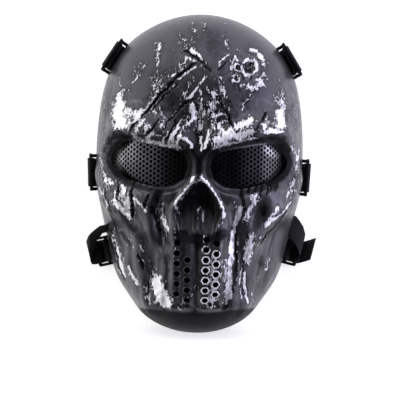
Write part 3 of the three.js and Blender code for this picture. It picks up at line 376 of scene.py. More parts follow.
# Black paint rubbed into the hollows, and painted shade between the eyes, over the eye sockets' outer ends,
# at the feet of the nose and muzzle and in furrows, charted the same way.
PAINTED_SHADE_AND_WASH = {
    # Painted shade between the eyes, at the foot of the nose and beside and below the muzzle, with darker
    # furrows, spots and patches over the brow, crown, cheeks and muzzle.
    "hollows": [
        Stroke([(199, 128), (198, 142), (199, 154)], 3.4, 0.9),
        Stroke([(186, 154), (199, 151), (212, 154)], 5.5, 1.4),
        Stroke([(199, 158), (199, 169)], 10.0, 0.75),
        Stroke([(178, 236), (200, 241), (222, 236)], 6.5, 1.0),
        Stroke([(166, 232), (167, 262), (168, 298)], 4.0, 0.5),
        Stroke([(172, 308), (200, 309), (226, 307)], 2.6, 0.8),
        Stroke([(172, 56), (172, 70)], 9.0, 0.3),
        Stroke([(173, 96), (173, 108)], 9.0, 0.5),
        Stroke([(238, 92), (246, 104)], 8.0, 0.35),
        Stroke([(213, 36), (216, 58)], 10.0, 0.25),
        Stroke([(156.5, 192), (152, 208)], 3.2, 1.1),
        Stroke([(160, 193), (156, 205), (154.5, 214), (158, 224), (159, 231)], 2.4, 0.9),
        Stroke([(120, 224), (136, 232)], 7.0, 0.45),
        Stroke([(200, 226), (200, 250), (199, 288)], 4.4, 0.4),
        Stroke([(264, 208), (264, 214)], 5.0, 0.7),
        Stroke([(261, 260), (261, 264)], 4.5, 0.55),
        Stroke([(242, 196), (245, 209)], 2.2, 0.9),
        Stroke([(237, 66), (240, 72)], 1.8, 1.2),
        Stroke([(246, 64), (252, 64)], 3.0, 0.9),
        Stroke([(275, 190), (281, 200)], 6.5, 0.35),
        Stroke([(158, 243), (161, 258)], 4.0, 0.4),
    ],
    # Painted shade in the recessed outer ends of the eye sockets.
    "painted shade over the outer ends of the eyes": [
        Stroke([(109, 142), (115, 135), (126, 137)], 4.4, 0.9),
        Stroke([(106, 150), (108, 162), (114, 172)], 3.0, 0.6),
        Stroke([(258, 140), (270, 137.5), (282, 139), (288, 150), (287, 164)], 3.8, 0.95),
    ],
    "soft black on the left cheek, the crown and a brow block": [
        Stroke([(124, 216), (132, 226)], 5.0, 0.45),
        Stroke([(190, 36), (214, 44)], 15.0, 0.25),
        Stroke([(173, 135), (171, 141)], 2.0, 0.8),
    ],
    "dark cuts under the right eye": [
        Stroke([(242, 187), (241, 196)], 1.5, 1.1),
        Stroke([(249, 187), (248, 193)], 1.3, 1.0),
        Stroke([(256, 186), (254, 194)], 1.3, 1.0),
        Stroke([(262, 186), (260, 197)], 1.3, 1.0),
        Stroke([(270, 184), (267, 194)], 1.3, 1.0),
        Stroke([(278, 182), (275, 190)], 1.3, 1.0),
    ],
    "furrows of the cheeks": [
        Stroke([(122, 232.7), (130, 243)], 1.4, 1.2),
        Stroke([(138, 254), (144, 265), (151, 276)], 1.5, 0.6),
        Stroke([(101, 198), (109, 212), (116, 226)], 1.0, 0.9),
        Stroke([(274, 228), (266.4, 234), (261, 243)], 1.1, 1.3),
        Stroke([(283, 216), (274, 228)], 1.0, 0.9),
        Stroke([(109, 236), (113, 250), (116, 262)], 1.0, 0.9),
    ],
}

# The plain black band of the chin, in picture pixels: its upper edge hangs by the sag towards the middle.
CHIN_BAND = {"top": 311.5, "middle": 197.0, "half": 66.0, "sag": 5.0, "soft": 3.0}

# Where silver paint reaches down to the upper edge of the eye openings, in millimetres.
BROW_EDGE = {"up": 8.0, "inner": 13.0, "outer": 69.0}

# The picture row where the painted shade in the nose cavity thins out, and over how many rows.
NOSE_SHADE_END = 238.0
NOSE_SHADE_SOFT = 16.0

# The picture row from which the vents' rims are silver, and over how many rows that grows.
VENT_SILVER_TOP = 234.0
VENT_SILVER_SOFT = 26.0

# Where looks and grain grow on the mask, in millimetres, each as a start and the distance it takes. They
# go out of the middle or, with a minus sign, towards it, and up or down, or lift off the table.
TEMPLE_SILVER = {"out": (66.0, 16.0), "lift": (12.0, 16.0), "share": 0.3}
# The next two spread the painted shade round the eye sockets: over their inner slopes, and thinner below the
# eyes.
SOCKET_INNER = {"inward": (-34.0, 12.0), "up": (-9.0, 6.0), "reach": 2.4}
SOCKET_LOWER = {"inward": (-64.0, 10.0), "down": (5.0, 5.0), "share": 0.85}
CHEEK_SINEWS = {"down": (8.0, 26.0), "out": (20.0, 12.0), "up": (-128.0, 18.0)}
BROW_PITS = {"up": (24.0, 14.0), "down": (-78.0, 26.0)}
FOREHEAD_GRAIN = {"up": (60.0, 25.0), "rise": 0.5}
SEPTUM = {"down": (24.0, 5.0), "up": (-56.0, 10.0), "half": 2.6, "rise": 6.0}

# The chipped field round the main shot mark, in picture pixels from its middle.
CHIPPED_FIELD = {"left": 3.0, "down": 3.0, "reach": 17.0}

# The mouth vents: hexagonal holes with raised rims, in upright rows beside the lip line.
VENT_HOLE = 5.0
VENT_PITCH = 8.63
VENT_TOP = -59.7
VENT_ROWS = 6
VENT_RIM = 0.95
VENT_RIM_HEIGHT = 0.6
VentColumn = namedtuple("VentColumn", "offset lower first")
VENT_COLUMNS = [
    VentColumn(-1.89, 0, 0),
    VentColumn(-0.89, 0.62, 1),
    VentColumn(0.89, 0.62, -1),
    VentColumn(1.89, 0, 0),
]

# The eye screens' perforation, and how far the sheet reaches under the shell.
SCREEN_PITCH = 4.0
SCREEN_HOLE = 2.75
SCREEN_FLANGE = 3.0
SCREEN_SPAN = 80
SCREEN_MIDDLE_UP = 7.0
SCREEN_ROWS = (-9, 12)

# The straps, as the frame has them.
HEAD_WEBBING = 25.0
JAW_WEBBING = 20.0
WEBBING_THICKNESS = 1.2
LOOP_HEIGHT = 21.0
LOOP_BAR = 2.5
STRAP_BAR = 1.8
LOOP_LIFT = 18.0
LOOP_OUT = 3.9
STRAP_TAIL = 17.0
STRAP_BEND = 3.2
ARCH_HEIGHT = 2.8
ARCH_SPARE = 1.5
HEAD_STRAP_INSIDE = 9.0
SEAM_ASIDE = 15.5
SEAM_OVERLAP = 7.5
SEAM_RAMP = 11.0
SEAM_REACH = 29.0
BUCKLE_BAR = 3.0
BUCKLE_SIDE = 2.5
BUCKLE_WINDOW = 6.0
BUCKLE_OUT = 1.5
NECK_BEND = 2.0
NECK_STRAP_INSIDE = 17.0
NECK_TAIL_REACH = 22.5
NECK_TAIL_LIFT = 12.0
NECK_TAIL_SHIFT = 6.0
JAW_ARCH_HEIGHT = 11.5
TEMPLE_UP = -0.01
CROWN_UP = 0.709
BUCKLE_UPS = {-1: -0.495, 1: -0.46}
NECK_TAILS = {"left": 0.25, "right": 1.0}
TAIL_RISE = [(1.0, 1.0, 1.0), (0.5, 0.36, 0.45), (0.0, 0.0, 0.0)]
FLOOR_LAYER = WEBBING_THICKNESS / 2
NEXT_LAYER = WEBBING_THICKNESS + CLEARANCE
LOOP_WRAP = STRAP_BAR / math.sqrt(2) + CLEARANCE + WEBBING_THICKNESS / 2
STRAP_BAR_LIFT = LOOP_LIFT + LOOP_HEIGHT / 2 - LOOP_BAR - CLEARANCE - LOOP_WRAP - WEBBING_THICKNESS / 2
BUCKLE_STEP = BUCKLE_BAR + BUCKLE_WINDOW
BUCKLE_WRAP = BUCKLE_BAR / math.sqrt(2) + CLEARANCE + WEBBING_THICKNESS / 2
BUCKLE_LIFT = FLOOR_LAYER + NEXT_LAYER + BUCKLE_WRAP
TabStep = namedtuple("TabStep", "out shift lift turn")
Tab = namedtuple("Tab", "side node reach shift lift turn steps")
JAW_TABS = [
    Tab(-1, "jaw_tab_left", 17.4, 19.0, 13.4, 72.0, [
        TabStep(0.83, 0, 0.25, 0),
        TabStep(0.99, 0.03, 0.42, 0.07),
        TabStep(1, 0.13, 0.64, 0.22),
        TabStep(0.84, 0.42, 0.87, 0.58),
        TabStep(0.55, 0.74, 0.97, 0.89),
        TabStep(0.17, 0.97, 1, 1),
        TabStep(-0.46, 1, 1, 1),
    ]),
    Tab(1, "jaw_tab_right", 13.0, 20.0, 12.8, 0.0, [
        TabStep(1, 0.1, 0.31, 0),
        TabStep(0.97, 0.35, 0.58, 0),
        TabStep(0.72, 0.63, 0.81, 0),
        TabStep(0.35, 0.85, 0.95, 0),
        TabStep(0.08, 0.98, 1, 0),
        TabStep(-0.62, 1, 1, 0),
    ]),
]

# How finely the shell is carved.
OUTER_CELLS = {"across": 258, "up": 300}
CELLS_PER_INNER = 6
DENSE_ACROSS = {"low": -0.72, "high": 0.72, "share": 0.82}
DENSE_UP = {"low": -0.7, "high": 0.6, "share": 0.76}
EYE_POINTS = 96
TALL = DOME_DEPTH * 2
TABLE_DROP = 6.0


def smooth(share):
    t = np.clip(share, 0.0, 1.0)
    return t * t * (3 - 2 * t)


def ramp(value, start, over):
    """Grows smoothly from 0 at a start to 1 over a distance."""
    return smooth((value - start) / over)


def read_column(table, key, at, column):
    """A column of a table anywhere between its rows, on a smooth curve through them."""
    keys = np.asarray(table[key], float)
    values = np.asarray(table[column], float)
    last = len(keys) - 1
    slopes = np.empty(last + 1)
    slopes[1:-1] = (values[2:] - values[:-2]) / (keys[2:] - keys[:-2])
    slopes[0] = (values[1] - values[0]) / (keys[1] - keys[0])
    slopes[-1] = (values[-1] - values[-2]) / (keys[-1] - keys[-2])
    row = np.clip(np.searchsorted(keys, at, side="left") - 1, 0, last - 1)
    span = keys[row + 1] - keys[row]
    t = np.clip((at - keys[row]) / span, 0, 1)
    back = 1 - t
    rising = values[row] * (1 + 2 * t) * back**2 + slopes[row] * span * t * back**2
    return rising + values[row + 1] * (3 - 2 * t) * t**2 - slopes[row + 1] * span * back * t**2


def closed_curve(corners, count):
    """Points on a smooth closed curve through its corners."""
    corners = np.asarray(corners, float)
    number = len(corners)
    at = np.arange(count) * number / count
    i = np.floor(at).astype(int)
    t = (at - i)[:, None]
    a, b, c, d = (corners[(i + k) % number] for k in (-1, 0, 1, 2))
    return 0.5 * (2 * b + (c - a) * t + (2 * a - 5 * b + 4 * c - d) * t**2 + (3 * b - a - 3 * c + d) * t**3)


def eye_outline(side, count=EYE_POINTS):
    """The eye opening's outline in the front view, anticlockwise."""
    corners = [(x * HALF_WIDTH, y * HALF_HEIGHT) for x, y in zip(EYE["across"], EYE["up"])]
    points = closed_curve(corners, count) * (side, 1)
    return points if side > 0 else points[::-1]


def outside_by(outline, x, y):
    """How far points lie outside a closed outline. It is negative inside."""
    nearest = np.full(x.shape, np.inf)
    inside = np.zeros(x.shape, bool)
    for a, b in zip(outline, np.roll(outline, -1, axis=0)):
        run = b - a
        t = np.clip(((x - a[0]) * run[0] + (y - a[1]) * run[1]) / (run @ run), 0, 1)
        nearest = np.minimum(nearest, np.hypot(x - a[0] - t * run[0], y - a[1] - t * run[1]))
        if a[1] != b[1]:
            crosses = ((a[1] > y) != (b[1] > y)) & (x < a[0] + (y - a[1]) * run[0] / run[1])
            inside ^= crosses
    return np.where(inside, -nearest, nearest)


def distance_to_path(x, y, path):
    """The distance to an open path of straight runs, and the share of the way along it."""
    nearest = np.full(x.shape, np.inf)
    share = np.zeros(x.shape)
    path = np.asarray(path, float)
    runs = np.diff(path, axis=0)
    lengths = np.hypot(runs[:, 0], runs[:, 1])
    travelled = np.concatenate([[0], np.cumsum(lengths)])
    for a, run, length, before in zip(path, runs, lengths, travelled):
        t = np.clip(((x - a[0]) * run[0] + (y - a[1]) * run[1]) / length**2, 0, 1)
        distance = np.hypot(x - a[0] - t * run[0], y - a[1] - t * run[1])
        closer = distance < nearest
        nearest = np.where(closer, distance, nearest)
        share = np.where(closer, (before + t * length) / travelled[-1], share)
    return nearest, share


def patchy(x, y, size, seed):
    """Smooth random values from 0 to 1 on the plane, with patches of about the given size."""
    table = np.random.default_rng(seed).random((64, 64))
    gx, gy = x / size, y / size
    i, j = np.floor(gx).astype(int), np.floor(gy).astype(int)
    fx, fy = smooth(gx - i), smooth(gy - j)
    corner = lambda di, dj: table[(i + di) % 64, (j + dj) % 64]
    low = corner(0, 0) * (1 - fx) + corner(1, 0) * fx
    high = corner(0, 1) * (1 - fx) + corner(1, 1) * fx
    return low * (1 - fy) + high * fy


def ragged(px, py, reach, size, seed):
    """Places of the picture, shifted a little at random, for torn and uneven edges."""
    across = (patchy(px, py, size, seed) - 0.5) * 2 * reach
    down = (patchy(px, py, size, seed + 1) - 0.5) * 2 * reach
    return px + across, py + down


def fold_rise(fold, side, x, y):
    """How far one fold of the face stands out, or sinks in."""
    x0, y0 = side * fold.x0 * HALF_WIDTH, fold.y0 * HALF_HEIGHT
    run = np.array([side * fold.x1 * HALF_WIDTH - x0, fold.y1 * HALF_HEIGHT - y0])
    t = np.clip(((x - x0) * run[0] + (y - y0) * run[1]) / (run @ run), 0, 1)
    spread = np.hypot(x - x0 - t * run[0], y - y0 - t * run[1]) / (fold.width * HALF_WIDTH)
    return FOLD_RISE * fold.rise * np.exp(-(spread**2))


def folds_rise(x, y):
    rise = np.zeros(x.shape)
    for fold in FOLDS:
        rise += fold_rise(fold, 1, x, y)
        if fold.both:
            rise += fold_rise(fold, -1, x, y)
    return rise


def nose_recess(x, y, spread):
    """How deep the nose cavity is, with its sides moved out by a spread."""
    bottom = NOSE["down"][-1]
    down = bottom * -y / (bottom * HALF_HEIGHT + spread)
    start = NOSE["down"][0] - spread / HALF_HEIGHT
    half = read_column(NOSE, "down", down, "half") * HALF_WIDTH
    inside = half + spread * smooth((down - start) / NOSE["down"][0]) - np.abs(x)
    depth = NOSE_DEPTH * read_column(NOSE, "down", down, "depth") * smooth(inside / NOSE_EDGE)
    return np.where((down > start) & (down < bottom), depth, 0.0)


def nose_rim(x, y):
    down = -y / HALF_HEIGHT
    inside = read_column(NOSE, "down", down, "half") * HALF_WIDTH - np.abs(x)
    fade = smooth((NOSE_RIM_END - down) / (NOSE_RIM_END - NOSE["down"][3]))
    within = (down > NOSE["down"][0]) & (down < NOSE_RIM_END)
    return np.where(within, NOSE_RIM * fade * np.exp(-((inside / NOSE_RIM) ** 2)), 0.0)


def muzzle_rise(x, y):
    beside = smooth((MUZZLE["half"] * HALF_WIDTH - np.abs(x)) / MUZZLE_EDGE)
    below = smooth((MUZZLE["top"] * HALF_HEIGHT - y) / (2 * MUZZLE_EDGE))
    above = smooth((y - MUZZLE["bottom"] * HALF_HEIGHT) / MUZZLE_EDGE)
    return MUZZLE_RISE * beside * below * above


def socket_share(x, y, spread):
    """The share of the eye socket's depth at places of the front view, from 0 outside to 1 in the opening."""
    outside = outside_by(eye_outline(1), np.abs(x), y)
    outer = smooth((np.abs(x) / HALF_WIDTH - SOCKET_LEAN["from"]) / SOCKET_LEAN["over"])
    slope = SOCKET_WALL + (SOCKET_OUTER_WALL - SOCKET_WALL) * outer
    return smooth(1 - (outside - SCREEN_MARGIN - spread) / slope)


def face_rise(x, y):
    """How far the modelled face stands out from the smooth dome."""
    rise = folds_rise(x, y) + muzzle_rise(x, y) + nose_rim(x, y) - nose_recess(x, y, 0.0)
    socket = socket_share(x, y, 0.0)
    return rise * (1 - socket) - SOCKET_DEPTH * socket


def hollow_rise(x, y):
    """The same for the inside of the shell, which follows only what sinks in."""
    rise = np.minimum(folds_rise(x, y), 0) - nose_recess(x, y, HOLLOW_SPREAD)
    socket = socket_share(x, y, HOLLOW_SPREAD)
    return rise * (1 - socket) - SOCKET_DEPTH * socket


def dome(p, q):
    """Points of the smooth dome over a unit disc, their outward directions and their disc radii."""
    radius = np.hypot(p, q)
    safe = np.where(radius > 0, radius, 1)
    across = np.where(radius > 0, p / safe, 1.0)
    up = np.where(radius > 0, q / safe, 0.0)
    radius = np.minimum(radius, 1)
    wide = HALF_WIDTH * read_column(OUTLINE, "up", up, "breadth")
    fullness = read_column(OUTLINE, "up", up, "fullness")
    turn = radius * math.pi / 2
    reach = np.sin(turn) ** (2 / fullness)
    rise = np.where(radius > 0.9999, 0, np.clip(np.cos(turn), 0, 1) ** (2 / fullness))
    bulge = reach ** (fullness - 1)
    points = np.stack([wide * across * reach, HALF_HEIGHT * up * reach, DOME_DEPTH * rise], axis=-1)
    outward = np.stack(
        [across / wide * bulge, up / HALF_HEIGHT * bulge, rise ** (fullness - 1) / DOME_DEPTH], axis=-1
    )
    return points, outward / np.linalg.norm(outward, axis=-1, keepdims=True), radius


def dome_under(x, y):
    """The smooth dome's height and outward direction at places of the front view."""
    reach = np.hypot(x / HALF_WIDTH, y / HALF_HEIGHT)
    for _ in range(12):
        up = np.clip(y / HALF_HEIGHT / np.maximum(reach, 1e-6), -1, 1)
        wide = HALF_WIDTH * read_column(OUTLINE, "up", up, "breadth")
        reach = np.hypot(x / wide, y / HALF_HEIGHT)
    fullness = read_column(OUTLINE, "up", up, "fullness")
    reach = np.clip(reach, 1e-6, 1)
    rise = (1 - reach**fullness) ** (1 / fullness)
    bulge = reach ** (fullness - 1)
    outward = np.stack(
        [x / wide / reach / wide * bulge, up / HALF_HEIGHT * bulge, rise ** (fullness - 1) / DOME_DEPTH],
        axis=-1,
    )
    return DOME_DEPTH * rise, outward / np.linalg.norm(outward, axis=-1, keepdims=True)


def in_picture(points):
    """Where points of the mask, in millimetres, are seen in the picture, in pixels."""
    x, y, z = points[..., 0], points[..., 1], points[..., 2]
    cos, sin = math.cos(CAMERA_ROLL), math.sin(CAMERA_ROLL)
    grow = CAMERA_HEIGHT / (CAMERA_HEIGHT - z) / PIXEL
    across = (x * cos + y * sin - CAMERA_ACROSS) * grow
    up = (y * cos - x * sin + CAMERA_DOWN) * grow
    return IMAGE_SIZE / 2 + across, IMAGE_SIZE / 2 - up


def scar_relief(px, py):
    """Grooves with raised lips, and the round shot marks."""
    rise = np.zeros(px.shape)
    torn_x, torn_y = ragged(px, py, 1.3, 4.0, 35)
    for scar in SCARS:
        distance, share = distance_to_path(torn_x, torn_y, scar.path)
        taper = smooth(np.minimum(share, 1 - share) * 6 + 0.25)
        width = scar.width * (0.5 + 0.5 * taper)
        groove = np.exp(-((distance / width) ** 2))
        lip = np.exp(-(((distance - 2.1 * width) / (0.9 * width)) ** 2))
        rise += taper * (scar.lip * lip - scar.depth * groove)
    for crater in CRATERS:
        distance = np.hypot(px - crater.px, py - crater.py)
        uneven = 1 + 0.22 * (patchy(px, py, 3.0, 5) - 0.5)
        hole = smooth((crater.hole * uneven * 1.35 - distance) / (crater.hole * 0.7))
        ring = np.exp(-(((distance - crater.ring * uneven) / (crater.ring * 0.3)) ** 2))
        rise += crater.rise * ring * (1 - hole) - crater.depth * hole
    main = CRATERS[0]
    from_field = np.hypot(px - main.px + CHIPPED_FIELD["left"], py - main.py - CHIPPED_FIELD["down"])
    near = np.exp(-((from_field / CHIPPED_FIELD["reach"]) ** 4))
    chips = (patchy(px, py, 2.6, 41) - 0.5) * 2.6 + (patchy(px, py, 5.0, 42) - 0.5) * 1.6
    return rise + near * chips


def grain_relief(x, y, px, py):
    """Uneven cast bone: shallow pits on the brow, and long sinews down the cheeks."""
    cheek = ramp(-y, *CHEEK_SINEWS["down"]) * ramp(np.abs(x), *CHEEK_SINEWS["out"])
    cheek *= ramp(y, *CHEEK_SINEWS["up"])
    lean = -np.sign(x) * 0.3 * (y + 30)
    sway = (patchy(x, y, 26.0, 10) - 0.5) * 9
    sinew = np.zeros(x.shape)
    for size, seed, share in ((9.0, 11, 0.62), (4.2, 12, 0.4)):
        sinew += (patchy(x + lean + sway, y / 8.0, size, seed) - 0.5) * size * share
    brow = ramp(y, *BROW_PITS["up"]) * ramp(-y, *BROW_PITS["down"])
    pits = (patchy(x, y, 5.0, 21) - 0.5) * 1.3 + (patchy(x, y, 2.3, 22) - 0.5) * 0.8
    brush = patchy(px, py, 2.2, 23)
    forehead = ramp(y, *FOREHEAD_GRAIN["up"]) * (patchy(x, y, 9.0, 24) - 0.5) * FOREHEAD_GRAIN["rise"]
    septum = SEPTUM["rise"] * np.exp(-((x / SEPTUM["half"]) ** 2))
    septum *= ramp(-y, *SEPTUM["down"]) * ramp(y, *SEPTUM["up"])
    painted = strokes_at(STROKES, px, py)
    flakes = 1.3 * (patchy(px, py, 2.4, 61) - 0.5) + 0.9 * (patchy(px, py / 2.2, 1.6, 62) - 0.5)
    return cheek * sinew + brow * pits * (0.4 + 0.6 * brush) + forehead + septum + painted * flakes


def strokes_at(strokes, px, py):
    """How thickly the brush strokes of a chart cover places of the picture."""
    bare = np.ones(px.shape)
    torn = ragged(*ragged(px, py, 2.0, 3.6, 31), 1.1, 1.5, 33)
    fine = ragged(px, py, 0.5, 2.2, 37)
    for stroke in itertools.chain.from_iterable(strokes.values()):
        distance, _ = distance_to_path(*(torn if stroke.width > FINE_STROKE else fine), stroke.path)
        cover = stroke.strength * np.exp(-((distance / stroke.width) ** 2))
        bare *= 1 - np.clip(cover / 1.7, 0, 0.97)
    return 1 - bare


def grid_lines(count, dense):
    """Places of the grid lines from -1 to 1, dense between low and high."""
    inner = int(round(count * dense["share"] / CELLS_PER_INNER)) * CELLS_PER_INNER
    low, high = dense["low"], dense["high"]
    share = (1 + low) / (2 + low - high)
    before = int(round((count - inner) * share / CELLS_PER_INNER)) * CELLS_PER_INNER
    after = count - inner - before
    parts = [np.linspace(-1, low, before + 1)[:-1], np.linspace(low, high, inner + 1)[:-1]]
    return np.concatenate([*parts, np.linspace(high, 1, after + 1)])


def skin(us, vs, inset, rise_at, carved):
    """A grid of points on the face, set in from its outer skin."""
    u, v = np.meshgrid(us, vs)
    points, outward, radius = dome(u * np.sqrt(1 - v * v / 2), v * np.sqrt(1 - u * u / 2))
    fade = smooth((1 - radius) / RIM_BAND)[..., None]
    x, y = points[..., 0], points[..., 1]
    formed = points + outward * (rise_at(x, y)[..., None] * fade)
    if carved:
        px, py = in_picture(formed)
        detail = (scar_relief(px, py) + grain_relief(x, y, px, py)) * (1 - socket_share(x, y, 0.0))
        formed = formed + outward * (detail[..., None] * fade)
    return formed - outward * inset


def ring_of(columns, rows, start):
    """The border vertices of a grid, anticlockwise from its lower left corner."""
    at = lambda i, j: start + j * columns + i
    right, top = columns - 1, rows - 1
    ring = [at(i, 0) for i in range(right)] + [at(right, j) for j in range(top)]
    return ring + [at(i, top) for i in range(right, 0, -1)] + [at(0, j) for j in range(top, 0, -1)]


def grid_faces(columns, rows, start, outward):
    faces = []
    for j in range(rows - 1):
        for i in range(columns - 1):
            a = start + j * columns + i
            face = (a, a + 1, a + 1 + columns, a + columns)
            faces.append(face if outward else face[::-1])
    return faces


def mesh_object(name, vertices, faces):
    """A mesh object from places in millimetres."""
    mesh = bpy.data.meshes.new(name)
    mesh.from_pydata([tuple(v) for v in np.asarray(vertices, float) * MM], [], faces)
    mesh.validate()
    thing = bpy.data.objects.new(name, mesh)
    bpy.context.scene.collection.objects.link(thing)
    return thing


def apply_modifiers(thing):
    """Turns an object's evaluated shape into its plain mesh."""
    graph = bpy.context.evaluated_depsgraph_get()
    graph.update()
    plain = bpy.data.meshes.new_from_object(thing.evaluated_get(graph), depsgraph=graph)
    old = thing.data
    thing.modifiers.clear()
    thing.data = plain
    bpy.data.meshes.remove(old)
    return thing


def prism(outline, bottom, top):
    """An upright prism's vertices and faces over an anticlockwise outline."""
    outline = np.asarray(outline, float)
    count = len(outline)
    low = np.column_stack([outline, np.full(count, float(bottom))])
    high = np.column_stack([outline, np.full(count, float(top))])
    sides = [(i, (i + 1) % count, (i + 1) % count + count, i + count) for i in range(count)]
    caps = [tuple(range(count))[::-1], tuple(range(count, 2 * count))]
    return np.vstack([low, high]), sides + caps


def hexagon(x, y, across):
    corner = across / 2 / math.cos(math.pi / 6)
    angles = np.arange(6) * math.pi / 3 + math.pi / 2
    return np.column_stack([x + corner * np.cos(angles), y + corner * np.sin(angles)])


def vent_places():
    places = []
    for column in VENT_COLUMNS:
        for row in range(column.first, VENT_ROWS):
            y = VENT_TOP - (row + column.lower) * VENT_PITCH
            places.append((column.offset * VENT_PITCH, y))
    return places


def edge_frame(up, side):
    """The shell's outline at a height: its foot, the direction along it and the one out of it."""
    def edge(at):
        wide = HALF_WIDTH * read_column(OUTLINE, "up", np.array(at), "breadth")
        return np.array([side * wide * math.sqrt(1 - at * at), at * HALF_HEIGHT, 0.0])
    upward = edge(up + 0.01) - edge(up - 0.01)
    upward /= np.linalg.norm(upward)
    outward = np.array([upward[1] * side, -upward[0] * side, 0.0])
    return edge(up), upward, outward


def beside(up, side, out, lift):
    foot, _, outward = edge_frame(up, side)
    place = foot + outward * out
    place[2] = lift
    return place


def box_beside(up, side, low, high, lift=0.0, turn=0.0):
    """A box's vertices and faces, set beside the shell's outline: out of it, along it and up."""
    foot, upward, outward = edge_frame(up, side)
    along = upward * side
    vertices = []
    for z in (low[2], high[2]):
        for x, y in ((low[0], low[1]), (high[0], low[1]), (high[0], high[1]), (low[0], high[1])):
            yy = y * math.cos(turn) - z * math.sin(turn)
            zz = y * math.sin(turn) + z * math.cos(turn) + lift
            vertices.append(foot + outward * x + along * yy + np.array([0, 0, zz]))
    faces = [(3, 2, 1, 0), (4, 5, 6, 7), (0, 1, 5, 4), (1, 2, 6, 5), (2, 3, 7, 6), (3, 0, 4, 7)]
    return np.array(vertices), faces


def joined(parts):
    """Several parts of vertices and faces as one."""
    vertices, faces = [], []
    for part_vertices, part_faces in parts:
        start = sum(len(v) for v in vertices)
        vertices.append(np.asarray(part_vertices, float))
        faces += [tuple(i + start for i in face) for face in part_faces]
    return np.vstack(vertices), faces


# How far the cuts through the rim and the slots beside it reach in and out of the outline.
ARCH_CUT = (-9, 3)
PRONG_CUT = (-12, 6)
TAB_CUT = (-12, 3)
HALF_PRONG = 1.75


def shell_cutters():
    """Everything that is cut out of the shell: eyes, vents, strap arches, prong slots and tab slots."""
    parts = [prism(eye_outline(side), DOME_DEPTH * 0.2, TALL) for side in (-1, 1)]
    parts += [prism(hexagon(x, y, VENT_HOLE), DOME_DEPTH * 0.5, TALL) for x, y in vent_places()]
    arch = HEAD_WEBBING / 2 + ARCH_SPARE
    jaw = (JAW_WEBBING + 4 * CLEARANCE + 2 * BUCKLE_SIDE) / 2 + CLEARANCE * 3
    prong = LOOP_BAR / 2 + CLEARANCE
    prong_lift = LOOP_LIFT - LOOP_HEIGHT / 2 + LOOP_BAR * 1.5
    prong_at = HEAD_WEBBING / 2 + CLEARANCE + HALF_PRONG
    for side in (-1, 1):
        for up in (TEMPLE_UP, CROWN_UP):
            corners = (ARCH_CUT[0], -arch, -TABLE_DROP), (ARCH_CUT[1], arch, ARCH_HEIGHT)
            parts.append(box_beside(up, side, *corners))
            for end in (-1, 1):
                low = (PRONG_CUT[0], end * prong_at - HALF_PRONG, prong_lift - prong)
                high = (PRONG_CUT[1], end * prong_at + HALF_PRONG, prong_lift + prong)
                parts.append(box_beside(up, side, low, high))
        corners = (ARCH_CUT[0], -jaw, -TABLE_DROP), (ARCH_CUT[1], jaw, JAW_ARCH_HEIGHT)
        parts.append(box_beside(BUCKLE_UPS[side], side, *corners))
    half = JAW_WEBBING / 2 + 5 * CLEARANCE
    high = WEBBING_THICKNESS / 2 + 3 * CLEARANCE
    for tab in JAW_TABS:
        up = BUCKLE_UPS[tab.side] + tab.shift / HALF_HEIGHT
        turn = tab.side * math.radians(tab.turn)
        lift = BUCKLE_LIFT + tab.lift
        corners = (TAB_CUT[0], -half, -high), (TAB_CUT[1], half, high)
        parts.append(box_beside(up, tab.side, *corners, lift, turn))
    return mesh_object("cutters", *joined(parts))


